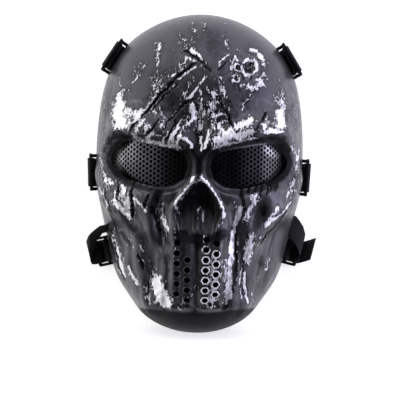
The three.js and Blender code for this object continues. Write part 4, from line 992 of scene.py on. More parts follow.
def wear_and_shade_at(places, silver_more=0.0):
    """Silver paint, black paint with painted shade, and plain chin paint at points of the shell, as three
    shares.
    """
    px, py = in_picture(places)
    x, y, z = (places[..., k] for k in range(3))
    # Silver flecks at the temples, above the table.
    side = ramp(np.abs(x), *TEMPLE_SILVER["out"]) * ramp(z, *TEMPLE_SILVER["lift"])
    silver = np.maximum(strokes_at(STROKES, px, py), TEMPLE_SILVER["share"] * side)
    low = ramp(py, VENT_SILVER_TOP, VENT_SILVER_SOFT)
    silver += silver_more * (0.6 + 0.4 * np.sign(x)) * low
    pits = np.zeros(px.shape)
    for crater in CRATERS:
        distance = np.hypot(px - crater.px, py - crater.py)
        distance *= 1 + 0.5 * (patchy(px, py, 2.8, 43) - 0.5)
        ring = np.exp(-(((distance - crater.ring) / (crater.ring * 0.3)) ** 2))
        silver = np.maximum(silver * (1 - 0.5 * smooth((crater.ring * 1.9 - distance) / 2)), 0.95 * ring)
        hole = smooth((crater.hole * 1.4 - distance) / 1.2)
        silver = silver * (1 - hole) + 0.4 * hole
        pits = np.maximum(pits, hole)
    scratches = np.zeros(px.shape)
    torn_x, torn_y = ragged(px, py, 1.3, 4.0, 35)
    chipped = smooth((patchy(px, py, 4.5, 51) - 0.3) / 0.4)
    for scar in SCARS:
        distance, _ = distance_to_path(torn_x, torn_y, scar.path)
        scratches = np.maximum(scratches, np.exp(-((distance / scar.width) ** 2)))
        lips = np.exp(-(((distance - 2.6 * scar.width) / (1.1 * scar.width)) ** 2))
        silver = np.maximum(silver, 0.62 * lips * chipped)
    high = smooth(z / 30)
    # Black paint and painted shade from the chart.
    shade = strokes_at(PAINTED_SHADE_AND_WASH, px, py) * 1.6
    front = smooth((BROW_EDGE["outer"] - np.abs(x)) / 10) * smooth((np.abs(x) - BROW_EDGE["inner"]) / 5)
    brow_side = smooth((y - BROW_EDGE["up"]) / 6) * front
    # Painted shade round the eye sockets: over the opening's margin and the inner slopes, thinner below the
    # eyes, and kept off the brow where the silver reaches the edge.
    inner_side = ramp(-np.abs(x), *SOCKET_INNER["inward"]) * ramp(y, *SOCKET_INNER["up"])
    within = socket_share(x, y, -SCREEN_MARGIN)
    around = socket_share(x, y, SOCKET_INNER["reach"])
    ring = np.maximum(within**1.2, 0.9 * around**1.5 * inner_side)
    lower_side = ramp(-y, *SOCKET_LOWER["down"]) * ramp(-np.abs(x), *SOCKET_LOWER["inward"])
    ring *= 1 - SOCKET_LOWER["share"] * lower_side
    shade = np.maximum(shade, ring * (1 - 0.9 * brow_side))
    # Painted shade in the nose cavity, thinning out towards its foot.
    fade = smooth((NOSE_SHADE_END - py) / NOSE_SHADE_SOFT)
    cavity = smooth(nose_recess(x, y, 0.0) / 7) * (0.15 + 0.85 * fade)
    shade = np.maximum(shade, cavity * 0.3)
    # The cracks and the shot holes are darker too.
    shade = np.maximum(shade, np.maximum(scratches, pits * 0.1))
    silver = silver * (1 - scratches) * (1 - within * (1 - brow_side))
    sag = CHIN_BAND["sag"] * smooth(np.abs(px - CHIN_BAND["middle"]) / CHIN_BAND["half"])
    chin = smooth((py - CHIN_BAND["top"] + sag) / CHIN_BAND["soft"])
    return np.stack([silver * high * (1 - chin), np.clip(shade, 0, 1) * high, chin], axis=-1)


def paint_attribute(thing, silver_more=0.0):
    """Writes the wear and the painted shade of a piece as a colour at each of its points."""
    mesh = thing.data
    count = len(mesh.vertices)
    places = np.empty(count * 3)
    mesh.vertices.foreach_get("co", places)
    places = places.reshape(-1, 3) / MM
    normals = np.empty(count * 3)
    mesh.vertices.foreach_get("normal", normals)
    normals = normals.reshape(-1, 3)
    away = places / np.array([HALF_WIDTH**2, HALF_HEIGHT**2, DOME_DEPTH**2])
    away /= np.linalg.norm(away, axis=1, keepdims=True)
    outer = smooth(((normals * away).sum(axis=1) + 0.45) / 0.3)
    wear_and_shade = wear_and_shade_at(places, silver_more) * outer[:, None]
    colours = np.column_stack([np.clip(wear_and_shade, 0, 1), outer])
    layer = mesh.color_attributes.new("wear_and_shade", "FLOAT_COLOR", "POINT")
    layer.data.foreach_set("color", colours.astype(np.float32).ravel())


def face_shell():
    """The carved shell as one closed mesh: outer skin, flat rim and hollow, with its openings cut."""
    us = grid_lines(OUTER_CELLS["across"], DENSE_ACROSS)
    vs = grid_lines(OUTER_CELLS["up"], DENSE_UP)
    inner_us, inner_vs = us[::CELLS_PER_INNER], vs[::CELLS_PER_INNER]
    outer = skin(us, vs, 0.0, face_rise, True)
    inner = skin(inner_us, inner_vs, WALL, hollow_rise, False)
    start = outer.shape[0] * outer.shape[1]
    vertices = np.vstack([outer.reshape(-1, 3), inner.reshape(-1, 3)])
    faces = grid_faces(len(us), len(vs), 0, True)
    faces += grid_faces(len(inner_us), len(inner_vs), start, False)
    outer_ring = ring_of(len(us), len(vs), 0)
    inner_ring = ring_of(len(inner_us), len(inner_vs), start)
    for k, corner in enumerate(inner_ring):
        following = inner_ring[(k + 1) % len(inner_ring)]
        first = k * CELLS_PER_INNER
        run = [outer_ring[(first + n) % len(outer_ring)] for n in range(CELLS_PER_INNER + 1)]
        faces.append((corner, following, *run[::-1]))
    shell = mesh_object("carved_shell", vertices, faces)
    cutters = shell_cutters()
    cut = shell.modifiers.new("openings", "BOOLEAN")
    cut.operation = "DIFFERENCE"
    cut.solver = "MANIFOLD"
    cut.object = cutters
    apply_modifiers(shell)
    bpy.data.objects.remove(cutters)
    paint_attribute(shell)
    shell.data.shade_smooth()
    shell.data.set_sharp_from_angle(angle=math.radians(48))
    return shell


def feed(socket, value):
    """Links another node's output to an input, or sets a plain value on it."""
    if hasattr(value, "links"):
        socket.id_data.links.new(value, socket)
    else:
        socket.default_value = value


def add_node(tree, kind, inputs=None, **settings):
    """A new node with its settings and its inputs."""
    node = tree.nodes.new(kind)
    for setting, value in settings.items():
        setattr(node, setting, value)
    for name, value in (inputs or {}).items():
        feed(node.inputs[name], value)
    return node


def add_math(operation, a, b=0.0, clamp=False):
    """Two values put together, of which at least one comes from a node."""
    tree = (a if hasattr(a, "links") else b).id_data
    node = add_node(tree, "ShaderNodeMath", {0: a, 1: b}, operation=operation, use_clamp=clamp)
    return node.outputs[0]


def plus(a, b):
    return add_math("ADD", a, b)


def minus(a, b, clamp=False):
    return add_math("SUBTRACT", a, b, clamp)


def times(a, b, clamp=False):
    return add_math("MULTIPLY", a, b, clamp)


def larger(a, b):
    return add_math("MAXIMUM", a, b)


def size_of(a):
    return add_math("ABSOLUTE", a)


def node_tree(name, sizes):
    """A new Geometry Nodes tree with a geometry in and out and named sizes in."""
    tree = bpy.data.node_groups.new(name, "GeometryNodeTree")
    tree.interface.new_socket("Geometry", in_out="INPUT", socket_type="NodeSocketGeometry")
    for size, value in sizes.items():
        socket = tree.interface.new_socket(size, in_out="INPUT", socket_type="NodeSocketFloat")
        socket.default_value = value
    tree.interface.new_socket("Geometry", in_out="OUTPUT", socket_type="NodeSocketGeometry")
    return tree, tree.nodes.new("NodeGroupInput").outputs, tree.nodes.new("NodeGroupOutput")


def close_tree(tree, mesh, material, end):
    """Gives a tree's mesh its material and hands it out."""
    finish = add_node(tree, "GeometryNodeSetMaterial", {"Geometry": mesh, "Material": material})
    feed(end.inputs["Geometry"], finish.outputs["Geometry"])
    return tree


def run_tree(thing, tree, sizes):
    """Runs a tree on an object with the given sizes, and keeps the result as its plain mesh."""
    modifier = thing.modifiers.new(tree.name, "NODES")
    modifier.node_group = tree
    for item in tree.interface.items_tree:
        if item.in_out == "INPUT" and item.name in sizes:
            modifier[item.identifier] = sizes[item.name]
    return apply_modifiers(thing)


def perforation_tree(material):
    """Hexagonal cells with a round hole each, one on every point of the incoming mesh."""
    tree, start, end = node_tree("perforated sheet", {"Pitch": SCREEN_PITCH * MM, "Hole": SCREEN_HOLE * MM})
    flat_share = math.cos(math.pi / 6)
    corner = add_math("DIVIDE", start["Pitch"], 2 * flat_share)
    radius = add_math("DIVIDE", start["Hole"], 2.0)
    cell = add_node(tree, "GeometryNodeMeshCircle", {"Vertices": 12, "Radius": radius}, fill_type="NONE")
    edges = {"Mesh": cell.outputs["Mesh"], "Offset Scale": 0.0}
    extrude = add_node(tree, "GeometryNodeExtrudeMesh", edges, mode="EDGES").outputs
    index = add_node(tree, "GeometryNodeInputIndex").outputs[0]
    turns = {0: add_math("MODULO", index, 2.0), 1: flat_share - 1.0, 2: 1.0}
    flat = add_node(tree, "ShaderNodeMath", turns, operation="MULTIPLY_ADD").outputs[0]
    place = add_node(tree, "GeometryNodeInputPosition").outputs[0]
    unit = add_node(tree, "ShaderNodeVectorMath", {0: place}, operation="NORMALIZE").outputs[0]
    reach = {0: unit, "Scale": times(flat, corner)}
    scaled = add_node(tree, "ShaderNodeVectorMath", reach, operation="SCALE").outputs[0]
    outer = {"Geometry": extrude["Mesh"], "Selection": extrude["Top"], "Position": scaled}
    spread = add_node(tree, "GeometryNodeSetPosition", outer).outputs[0]
    copies = {"Points": start["Geometry"], "Instance": spread}
    on_points = add_node(tree, "GeometryNodeInstanceOnPoints", copies).outputs[0]
    real = add_node(tree, "GeometryNodeRealizeInstances", {"Geometry": on_points}).outputs[0]
    near = {"Geometry": real, "Distance": 0.02 * MM}
    merge = add_node(tree, "GeometryNodeMergeByDistance", near).outputs[0]
    return close_tree(tree, merge, material, end)


def screen_surface(x, y, inset):
    """Places on the smooth dome, set in by inset, that lie over given places of the front view."""
    base_x, base_y = x.copy(), y.copy()
    for _ in range(8):
        height, outward = dome_under(base_x, base_y)
        base_x += x - (base_x - outward[..., 0] * inset)
        base_y += y - (base_y - outward[..., 1] * inset)
    height, outward = dome_under(base_x, base_y)
    return np.stack([x, y, height - outward[..., 2] * inset], axis=-1)


def eye_screen(side, tree):
    """A curved perforated sheet behind one eye opening, laid out flat and then bent to the dome."""
    inset = SOCKET_DEPTH + WALL + CLEARANCE
    reach_x = np.linspace(0, SCREEN_SPAN, SCREEN_SPAN * 4 + 1)
    profile = screen_surface(reach_x, np.full(reach_x.shape, SCREEN_MIDDLE_UP), inset)
    steps = np.hypot(np.diff(profile[:, 0]), np.diff(profile[:, 2]))
    travelled = np.concatenate([[0], np.cumsum(steps)])
    outline = eye_outline(1)
    column_step = SCREEN_PITCH * math.cos(math.pi / 6)
    points = []
    for column in range(1, int(travelled[-1] / column_step)):
        for row in range(*SCREEN_ROWS):
            along = column * column_step
            y = (row + (column % 2) / 2) * SCREEN_PITCH
            x = np.interp(along, travelled, reach_x)
            if outside_by(outline, np.array([x]), np.array([y]))[0] < SCREEN_FLANGE:
                points.append((along, y, 0.0))
    sheet = mesh_object("screen", points, [])
    run_tree(sheet, tree, {"Pitch": SCREEN_PITCH * MM, "Hole": SCREEN_HOLE * MM})
    mesh = sheet.data
    flat = np.empty(len(mesh.vertices) * 3)
    mesh.vertices.foreach_get("co", flat)
    flat = flat.reshape(-1, 3) / MM
    x = np.interp(flat[:, 0], travelled, reach_x)
    bent = screen_surface(x, flat[:, 1].copy(), inset) * (side, 1, 1)
    mesh.vertices.foreach_set("co", (bent * MM).ravel())
    if side < 0:
        mesh.flip_normals()
    thick = sheet.modifiers.new("thickness", "SOLIDIFY")
    thick.thickness = SCREEN_THICKNESS * MM
    thick.offset = -1.0
    apply_modifiers(sheet)
    sheet.data.shade_smooth()
    sheet.data.set_sharp_from_angle(angle=math.radians(40))
    return sheet


def rim_tree(material, sizes):
    """A raised hexagonal rim on every point of the incoming mesh, turned along its outward direction."""
    tree, start, end = node_tree("vent rims", sizes)
    circle = "GeometryNodeCurvePrimitiveCircle"
    ring = add_node(tree, circle, {"Resolution": 6, "Radius": start["Radius"]}).outputs["Curve"]
    section = add_node(tree, circle, {"Resolution": 8, "Radius": start["Thickness"]}).outputs["Curve"]
    tube = add_node(tree, "GeometryNodeCurveToMesh", {"Curve": ring, "Profile Curve": section})
    named = add_node(tree, "GeometryNodeInputNamedAttribute", {"Name": "outward"}, data_type="FLOAT_VECTOR")
    outward = {"Vector": named.outputs["Attribute"]}
    turn = add_node(tree, "FunctionNodeAlignRotationToVector", outward, axis="Z").outputs["Rotation"]
    copies = {"Points": start["Geometry"], "Instance": tube.outputs["Mesh"], "Rotation": turn}
    on_points = add_node(tree, "GeometryNodeInstanceOnPoints", copies).outputs[0]
    real = add_node(tree, "GeometryNodeRealizeInstances", {"Geometry": on_points}).outputs[0]
    return close_tree(tree, real, material, end)


def vent_rims(material):
    """The raised rims round the mouth vents, lying on the muzzle."""
    places = np.array(vent_places())
    x, y = places[:, 0], places[:, 1]
    height, outward = dome_under(x, y)
    rise = face_rise(x, y)
    surface = np.column_stack([x, y, height]) + outward * rise[:, None]
    shift = surface[:, :2] - places
    height, outward = dome_under(x - shift[:, 0], y - shift[:, 1])
    rise = face_rise(x - shift[:, 0], y - shift[:, 1])
    surface = np.column_stack([places - shift, height]) + outward * rise[:, None]
    rims = mesh_object("vent_rims", surface, [])
    direction = rims.data.attributes.new("outward", "FLOAT_VECTOR", "POINT")
    direction.data.foreach_set("vector", outward.astype(np.float32).ravel())
    radius = (VENT_HOLE / 2 + VENT_RIM / 2) / math.cos(math.pi / 6)
    sizes = {"Radius": radius * MM, "Thickness": VENT_RIM_HEIGHT * MM}
    run_tree(rims, rim_tree(material, sizes), sizes)
    paint_attribute(rims, silver_more=0.8)
    rims.data.shade_smooth()
    rims.data.set_sharp_from_angle(angle=math.radians(50))
    return rims


def turn_about(out, lift, radius, start, end, steps=10):
    angles = np.linspace(start, end, steps + 1)
    return [(out + radius * math.cos(a), lift + radius * math.sin(a)) for a in angles]


Station = namedtuple("Station", "point across")

# How finely a band is drawn: its pieces' length, its lanes across and its rounded edge.
BAND_PIECE = 2.5
BAND_SHORTEST = 4
BAND_LANES = 9
BAND_EDGE = 0.45


def band(name, stations, width, material):
    """A woven band through stations: a thin rounded section swept along them, with its own UV map."""
    points = np.array([s.point for s in stations])
    across = np.array([s.across for s in stations])
    fine_points, fine_across = [], []
    for i in range(len(points) - 1):
        length = np.linalg.norm(points[i + 1] - points[i])
        pieces = max(1, int(length / BAND_PIECE)) if length > BAND_SHORTEST else 1
        for k in range(pieces):
            t = k / pieces
            fine_points.append(points[i] * (1 - t) + points[i + 1] * t)
            fine_across.append(across[i] * (1 - t) + across[i + 1] * t)
    fine_points.append(points[-1])
    fine_across.append(across[-1])
    points = np.array(fine_points)
    across = np.array(fine_across)
    across /= np.linalg.norm(across, axis=1, keepdims=True)
    along = np.gradient(points, axis=0)
    face = np.cross(along, across)
    face /= np.linalg.norm(face, axis=1, keepdims=True)
    steps = np.linalg.norm(np.diff(points, axis=0), axis=1)
    travelled = np.concatenate([[0], np.cumsum(steps)])
    half, thick = width / 2, WEBBING_THICKNESS / 2
    lanes = np.linspace(-half + BAND_EDGE, half - BAND_EDGE, BAND_LANES)
    section = [(x, -thick) for x in lanes]
    section += [(half, -thick + BAND_EDGE), (half, thick - BAND_EDGE)]
    section += [(x, thick) for x in lanes[::-1]]
    section += [(-half, thick - BAND_EDGE), (-half, -thick + BAND_EDGE)]
    count = len(section)
    vertices = []
    for point, side, up in zip(points, across, face):
        vertices += [point + side * a + up * b for a, b in section]
    faces, places = [], []
    for i in range(len(points) - 1):
        for k in range(count):
            n = (k + 1) % count
            faces.append((i * count + k, i * count + n, (i + 1) * count + n, (i + 1) * count + k))
            at = [section[k][0], section[n][0], section[n][0], section[k][0]]
            go = [travelled[i], travelled[i], travelled[i + 1], travelled[i + 1]]
            places.append(list(zip(go, at)))
    last = (len(points) - 1) * count
    faces.append(tuple(range(count))[::-1])
    faces.append(tuple(range(last, last + count)))
    places.append([(0.0, section[k][0]) for k in range(count)][::-1])
    places.append([(travelled[-1], section[k][0]) for k in range(count)])
    thing = mesh_object(name, vertices, faces)
    layer = thing.data.uv_layers.new(name="weave")
    flat = [value * MM for face_places in places for place in face_places for value in place]
    layer.data.foreach_set("uv", np.array(flat, np.float32))
    thing.data.materials.append(material)
    thing.data.shade_smooth()
    thing.data.set_sharp_from_angle(angle=math.radians(50))
    return thing


def head_strap_end(up, side):
    inner = LOOP_OUT - LOOP_WRAP
    route = [(LOOP_OUT + LOOP_WRAP, STRAP_BAR_LIFT - STRAP_TAIL)]
    route += turn_about(LOOP_OUT, STRAP_BAR_LIFT, LOOP_WRAP, 0, math.pi)
    route += turn_about(inner - STRAP_BEND, FLOOR_LAYER + STRAP_BEND, STRAP_BEND, 0, -math.pi / 2)
    route += [(-HEAD_STRAP_INSIDE, FLOOR_LAYER)]
    across = edge_frame(up, side)[1]
    return [Station(beside(up, side, out, lift), across) for out, lift in route]


def temple_strap(material):
    right = head_strap_end(TEMPLE_UP, 1)
    left = head_strap_end(TEMPLE_UP, -1)[::-1]
    return band("temple_webbing", right + left, HEAD_WEBBING, material)


def crown_strap(side, word, material):
    end = head_strap_end(CROWN_UP, side)
    start = end[-1].point
    seam = np.array([side * SEAM_ASIDE, TEMPLE_UP * HALF_HEIGHT, FLOOR_LAYER])
    run = (seam - start) / np.linalg.norm(seam - start)
    across = np.array([-run[1], run[0], 0.0]) * -side
    upper = FLOOR_LAYER + NEXT_LAYER

    def step(distance, lift):
        place = seam + run * distance
        place[2] = lift
        return Station(place, across)

    middle = Station(start * 0.7 + seam * 0.3, end[0].across * 0.5 + across * 0.5)
    hidden = [
        middle,
        step(-SEAM_REACH - SEAM_RAMP, FLOOR_LAYER),
        step(-SEAM_REACH, upper),
        step(SEAM_OVERLAP, upper),
    ]
    return band(f"crown_webbing_{word}", end + hidden, HEAD_WEBBING, material)


def neck_strap_end(side, tail):
    quarter = math.pi / 2
    low = FLOOR_LAYER + NECK_BEND
    end = BUCKLE_OUT + BUCKLE_WRAP + NECK_BEND
    begin = BUCKLE_OUT - BUCKLE_WRAP - NECK_BEND
    foot = BUCKLE_OUT + BUCKLE_STEP + BUCKLE_WRAP
    across = edge_frame(BUCKLE_UPS[side], side)[1]
    stations = []
    for out, lift, shift in TAIL_RISE:
        reach = foot + (NECK_TAIL_REACH - foot) * out * tail
        place = beside(BUCKLE_UPS[side], side, reach, FLOOR_LAYER + NECK_TAIL_LIFT * lift * tail)
        stations.append(Station(place + across * (NECK_TAIL_SHIFT * shift * tail), across))
    route = turn_about(end, low, NECK_BEND, -quarter, -2 * quarter)
    route += turn_about(BUCKLE_OUT, BUCKLE_LIFT, BUCKLE_WRAP, 0, 2 * quarter)
    route += turn_about(begin, low, NECK_BEND, 0, -quarter)
    route += [(-NECK_STRAP_INSIDE, FLOOR_LAYER)]
    return stations + [Station(beside(BUCKLE_UPS[side], side, out, lift), across) for out, lift in route]


def neck_strap(material):
    right = neck_strap_end(1, NECK_TAILS["right"])
    left = neck_strap_end(-1, NECK_TAILS["left"])[::-1]
    return band("neck_webbing", right + left, JAW_WEBBING, material)


def jaw_tab(tab, material):
    bar = BUCKLE_OUT + BUCKLE_STEP
    wrap = [(bar + BUCKLE_BAR, BUCKLE_LIFT - BUCKLE_WRAP)]
    wrap += turn_about(bar, BUCKLE_LIFT, BUCKLE_WRAP, -math.pi / 2, -1.5 * math.pi)
    across = edge_frame(BUCKLE_UPS[tab.side], tab.side)[1]
    stations = [Station(beside(BUCKLE_UPS[tab.side], tab.side, out, lift), across) for out, lift in wrap]
    steps = []
    for step in tab.steps:
        up = BUCKLE_UPS[tab.side] + step.shift * tab.shift / HALF_HEIGHT
        turn = math.radians(step.turn * tab.turn)
        side = edge_frame(up, tab.side)[1] * math.cos(turn) + np.array([0, 0, math.sin(turn)])
        point = beside(up, tab.side, step.out * tab.reach, BUCKLE_LIFT + step.lift * tab.lift)
        steps.append(Station(point, side))
    return band(tab.node + "_webbing", stations + steps, JAW_WEBBING, material)


def softened(node, name, width, material):
    """A moulded copy of a frame piece, with its edges rounded."""
    copy = bpy.data.objects.new(name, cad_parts[node].data.copy())
    bpy.context.scene.collection.objects.link(copy)
    shape = bmesh.new()
    shape.from_mesh(copy.data)
    bmesh.ops.remove_doubles(shape, verts=shape.verts, dist=0.01 * MM)
    flat = math.radians(1.0)
    bmesh.ops.dissolve_limit(shape, angle_limit=flat, verts=shape.verts, edges=shape.edges)
    shape.to_mesh(copy.data)
    shape.free()
    rounded = copy.modifiers.new("round edges", "BEVEL")
    rounded.width = width * MM
    rounded.segments = 2
    rounded.limit_method = "ANGLE"
    rounded.angle_limit = math.radians(40)
    apply_modifiers(copy)
    copy.data.materials.clear()
    copy.data.materials.append(material)
    copy.data.shade_smooth()
    copy.data.set_sharp_from_angle(angle=math.radians(40))
    return copy


# Materials.

def new_material(name):
    """A new material and its places on the piece."""
    material = bpy.data.materials.new(name)
    material.use_nodes = True
    return material, add_node(material.node_tree, "ShaderNodeTexCoord").outputs["Object"]


def shaded(material, looks):
    """A material whose shader has its inputs fed."""
    for name, value in looks.items():
        feed(material.node_tree.nodes["Principled BSDF"].inputs[name], value)
    return material


def axes(place):
    """The three numbers of a place."""
    return add_node(place.id_data, "ShaderNodeSeparateXYZ", {0: place}).outputs


def add_noise(place, scale=1.0, detail=3.0, stretch=None):
    tree = place.id_data
    if stretch:
        place = add_node(tree, "ShaderNodeMapping", {"Vector": place, "Scale": stretch}).outputs["Vector"]
    noise = {"Vector": place, "Scale": scale, "Detail": detail}
    return add_node(tree, "ShaderNodeTexNoise", noise).outputs["Fac"]


def add_ramp(source, stops):
    ramp = add_node(source.id_data, "ShaderNodeValToRGB", {"Fac": source})
    elements = ramp.color_ramp.elements
    while len(elements) < len(stops):
        elements.new(0.5)
    for element, (position, colour) in zip(elements, stops):
        element.position = position
        element.color = colour
    return ramp.outputs["Color"]


def add_mix(factor, a, b):
    return add_node(factor.id_data, "ShaderNodeMix", {0: factor, 6: a, 7: b}, data_type="RGBA").outputs[2]


def add_bump(height, strength, distance, normal=None):
    bump = {"Height": height, "Strength": strength, "Distance": distance}
    if normal:
        bump["Normal"] = normal
    return add_node(height.id_data, "ShaderNodeBump", bump).outputs["Normal"]


def add_range(value, low, high, to_low=0.0, to_high=1.0, kind="SMOOTHSTEP"):
    ends = dict(enumerate((value, low, high, to_low, to_high)))
    return add_node(value.id_data, "ShaderNodeMapRange", ends, interpolation_type=kind).outputs[0]


def add_spot(place, middle, reach):
    """The distance from an upright axis through the table, as a share of an ellipse's reach."""
    moved = add_node(place.id_data, "ShaderNodeMapping", {
        "Vector": place,
        "Location": (middle[0] * MM, middle[1] * MM, 0.0),
        "Scale": (reach[0] * MM, reach[1] * MM, 1.0),
    }, vector_type="TEXTURE").outputs["Vector"]
    return add_node(place.id_data, "ShaderNodeVectorMath", {0: moved}, operation="LENGTH").outputs["Value"]


def grey(value, blue=None):
    """A grey, or one with its own blue."""
    return (value, value, value if blue is None else blue, 1.0)


GUNMETAL = grey(0.085, 0.088)
GUNMETAL_COOL = (0.082, 0.080, 0.098, 1.0)
# This dark gunmetal is painted shade over the middle of the face, and darkens the jaw too.
DARKENED_GUNMETAL = (0.035, 0.034, 0.038, 1.0)
STREAK_GREY = grey(0.115, 0.12)
SIDE_STREAK_GREY = grey(0.34, 0.35)
# This black is the chin band's plain paint, the black under the silver, and the black paint and painted shade
# in the hollows, round the eyes and in the nose.
BLACK_PAINT_AND_SHADE = grey(0.006, 0.007)
BARE_PLASTIC = grey(0.008, 0.009)
SILVER = grey(0.9, 0.93)
DULL_SILVER = grey(0.3, 0.315)

# Where the paint changes, in metres on the mask: it starts at the first value and is full at the second.
LOWER_HALF = (0.03, -0.03)
CENTRE = (0.045, 0.02)
SIDES = (0.06, 0.085)
OUTER_SIDES = (0.07, 0.088)
# The next two bound the painted shade over the middle of the face.
FOREHEAD_MIDDLE = (0.037, 0.006)
BELOW_CROWN = (0.138, 0.06)
JAW = (-0.045, -0.1)
JAW_ASIDE = (0.02, 0.075, 0.1, 0.9)


def worn_paint_and_shade():
    """Gunmetal paint with black rubbed into the hollows, painted shade round the eyes, in the nose and over
    the middle of the face, and dry brushed silver on the high places.
    """
    material, place = new_material("gunmetal paint with dry brushed silver and painted shade")
    tree = material.node_tree
    wear_and_shade = add_node(tree, "ShaderNodeVertexColor", layer_name="wear_and_shade").outputs
    shares = add_node(tree, "ShaderNodeSeparateColor", {"Color": wear_and_shade["Color"]}).outputs
    silver, black, chin = (shares[k] for k in range(3))
    x, y = axes(place)[:2]
    aside = size_of(x)
    low = add_range(y, *LOWER_HALF)

    # Grit, brush marks and fine threads make one speckle.
    fine = add_noise(place, scale=560.0, detail=5.0)
    brushed = add_noise(place, detail=4.0, stretch=(700.0, 150.0, 340.0))
    winding = add_noise(place, detail=2.0, stretch=(330.0, 210.0, 270.0))
    threads = add_range(size_of(minus(winding, 0.5)), 0.0, 0.075, 1.0, 0.0, "LINEAR")
    blots = add_noise(place, scale=260.0)
    streaky = plus(times(larger(low, add_range(aside, *CENTRE)), 0.35), 0.45)
    speckle = plus(times(fine, minus(1.0, streaky)), times(brushed, streaky))
    speckle = add_range(speckle, 0.3, 0.7, kind="LINEAR")
    speckle = plus(times(speckle, 0.72), times(threads, 0.3))

    # The thicker the silver, the more of the speckle it covers.
    start = minus(0.93, times(silver, 1.02))
    cover = add_range(speckle, start, plus(start, 0.3))
    cover = times(cover, times(silver, 8.0, clamp=True))
    tone = add_mix(add_range(blots, 0.35, 0.6), DULL_SILVER, SILVER)
    tone = add_mix(add_range(silver, 0.3, 0.9), tone, SILVER)

    # The ground: mottled gunmetal, with painted shade over the middle of the face, darker on the jaw, and
    # lighter grey streaks at the outer sides.
    mottled = add_noise(place, scale=26.0)
    streaks = add_noise(place, stretch=(240.0, 26.0, 90.0))
    side_streaks = add_noise(place, detail=4.0, stretch=(520.0, 22.0, 260.0))
    # Painted shade over the middle of the face, below the crown.
    middle = times(add_range(aside, *FOREHEAD_MIDDLE), add_range(y, *BELOW_CROWN))
    jaw = times(add_range(y, *JAW), add_range(aside, *JAW_ASIDE))
    streaked = larger(low, add_range(aside, *SIDES))
    base = add_mix(mottled, GUNMETAL, GUNMETAL_COOL)
    base = add_mix(times(middle, 0.85), base, DARKENED_GUNMETAL)
    base = add_mix(jaw, base, DARKENED_GUNMETAL)
    base = add_mix(times(add_range(streaks, 0.35, 0.7), streaked), base, STREAK_GREY)
    # Lighter grey streaks at the outer sides.
    side_grey = times(add_range(side_streaks, 0.5, 0.66), add_range(aside, *OUTER_SIDES))
    base = add_mix(side_grey, base, SIDE_STREAK_GREY)
    base = add_mix(chin, base, BLACK_PAINT_AND_SHADE)

    # Black under the silver, and black paint with painted shade in the hollows, round the eyes and in the
    # nose.
    soiled = times(silver, 1.5, clamp=True)
    base = add_mix(times(soiled, 0.86), base, BLACK_PAINT_AND_SHADE)
    # The black share carries painted shade as well as black paint.
    shade_and_wash = add_range(plus(black, times(minus(blots, 0.5), 0.4)), 0.1, 0.7)
    painted = add_mix(cover, add_mix(shade_and_wash, base, BLACK_PAINT_AND_SHADE), tone)
    rough = plus(plus(plus(times(blots, 0.2), 0.26), times(chin, 0.25)), times(shade_and_wash, 0.1))
    metal = minus(minus(0.72, times(cover, 0.45)), times(chin, 0.72), clamp=True)
    relief = plus(times(cover, 0.6), times(speckle, 0.3))
    orange_peel = add_bump(add_noise(place, scale=900.0, detail=2.0), strength=0.05, distance=0.0004)
    return shaded(material, {
        "Base Color": add_mix(wear_and_shade["Alpha"], BARE_PLASTIC, painted),
        "Roughness": rough,
        "Specular IOR Level": 0.12,
        "Metallic": times(metal, wear_and_shade["Alpha"]),
        "Normal": add_bump(relief, 0.6, 0.0005, orange_peel),
    })


# The screens' middle line in metres, and the painted highlight spot on the right screen in millimetres.
SCREEN_MIDDLE = -0.0065
SCREEN_HIGHLIGHT_SPOT = {"middle": (64.0, 21.0), "reach": (12.0, 9.0)}
# In metres: where painted highlights brighten the screens' outer, upper part, where they turn lighter grey
# inwards, and where their outer ends are painted near-white.
SCREEN_HIGHLIGHT = {"aside": (0.04, 0.066), "up": (-0.01, 0.022)}
SCREEN_INNER_GREY = (0.025, 0.036)
SCREEN_OUTER_HIGHLIGHT = (0.056, 0.067)


def screen_metal():
    """Black lacquered steel sheet with a soft sheen, and painted highlights on the screens' outer parts."""
    material, place = new_material("lacquered screen with painted highlights")
    cloudy = add_noise(place, scale=120.0)
    x, y = axes(place)[:2]
    aside = size_of(minus(x, SCREEN_MIDDLE))
    right = add_range(x, -0.005, 0.005)
    # A painted highlight spot on the right screen.
    highlight_spot = add_range(add_spot(place, **SCREEN_HIGHLIGHT_SPOT), 1.0, 0.4)
    left_colour = add_ramp(cloudy, [(0.3, grey(0.02, 0.022)), (0.75, grey(0.04, 0.043))])
    colour = add_mix(right, left_colour, grey(0.012, 0.0135))
    # Painted highlight over the outer, upper part of the left screen.
    painted_highlight = times(add_range(aside, *SCREEN_HIGHLIGHT["aside"]), add_range(y, *SCREEN_HIGHLIGHT["up"]))
    painted_highlight = larger(times(painted_highlight, minus(1.0, right)), highlight_spot)
    highlighted = add_mix(painted_highlight, colour, grey(0.19, 0.195))
    # Lighter grey towards the screens' inner ends.
    inner_grey = add_mix(add_range(aside, *SCREEN_INNER_GREY), grey(0.05, 0.058), highlighted)
    # Painted highlight at the outer ends: near-white and less metallic on the left screen, dark grey on the
    # right one but for its painted highlight spot.
    outer_highlight = add_mix(right, grey(0.95, 0.96), grey(0.05, 0.055))
    outer_highlight = add_mix(highlight_spot, outer_highlight, grey(0.42, 0.44))
    edge = add_range(aside, *SCREEN_OUTER_HIGHLIGHT)
    return shaded(material, {
        "Base Color": add_mix(edge, inner_grey, outer_highlight),
        "Metallic": minus(1.0, times(edge, 0.7)),
        "Roughness": plus(times(cloudy, 0.18), 0.22),
        "Normal": add_bump(add_noise(place, scale=1500.0, detail=2.0), strength=0.15, distance=0.0002),
    })


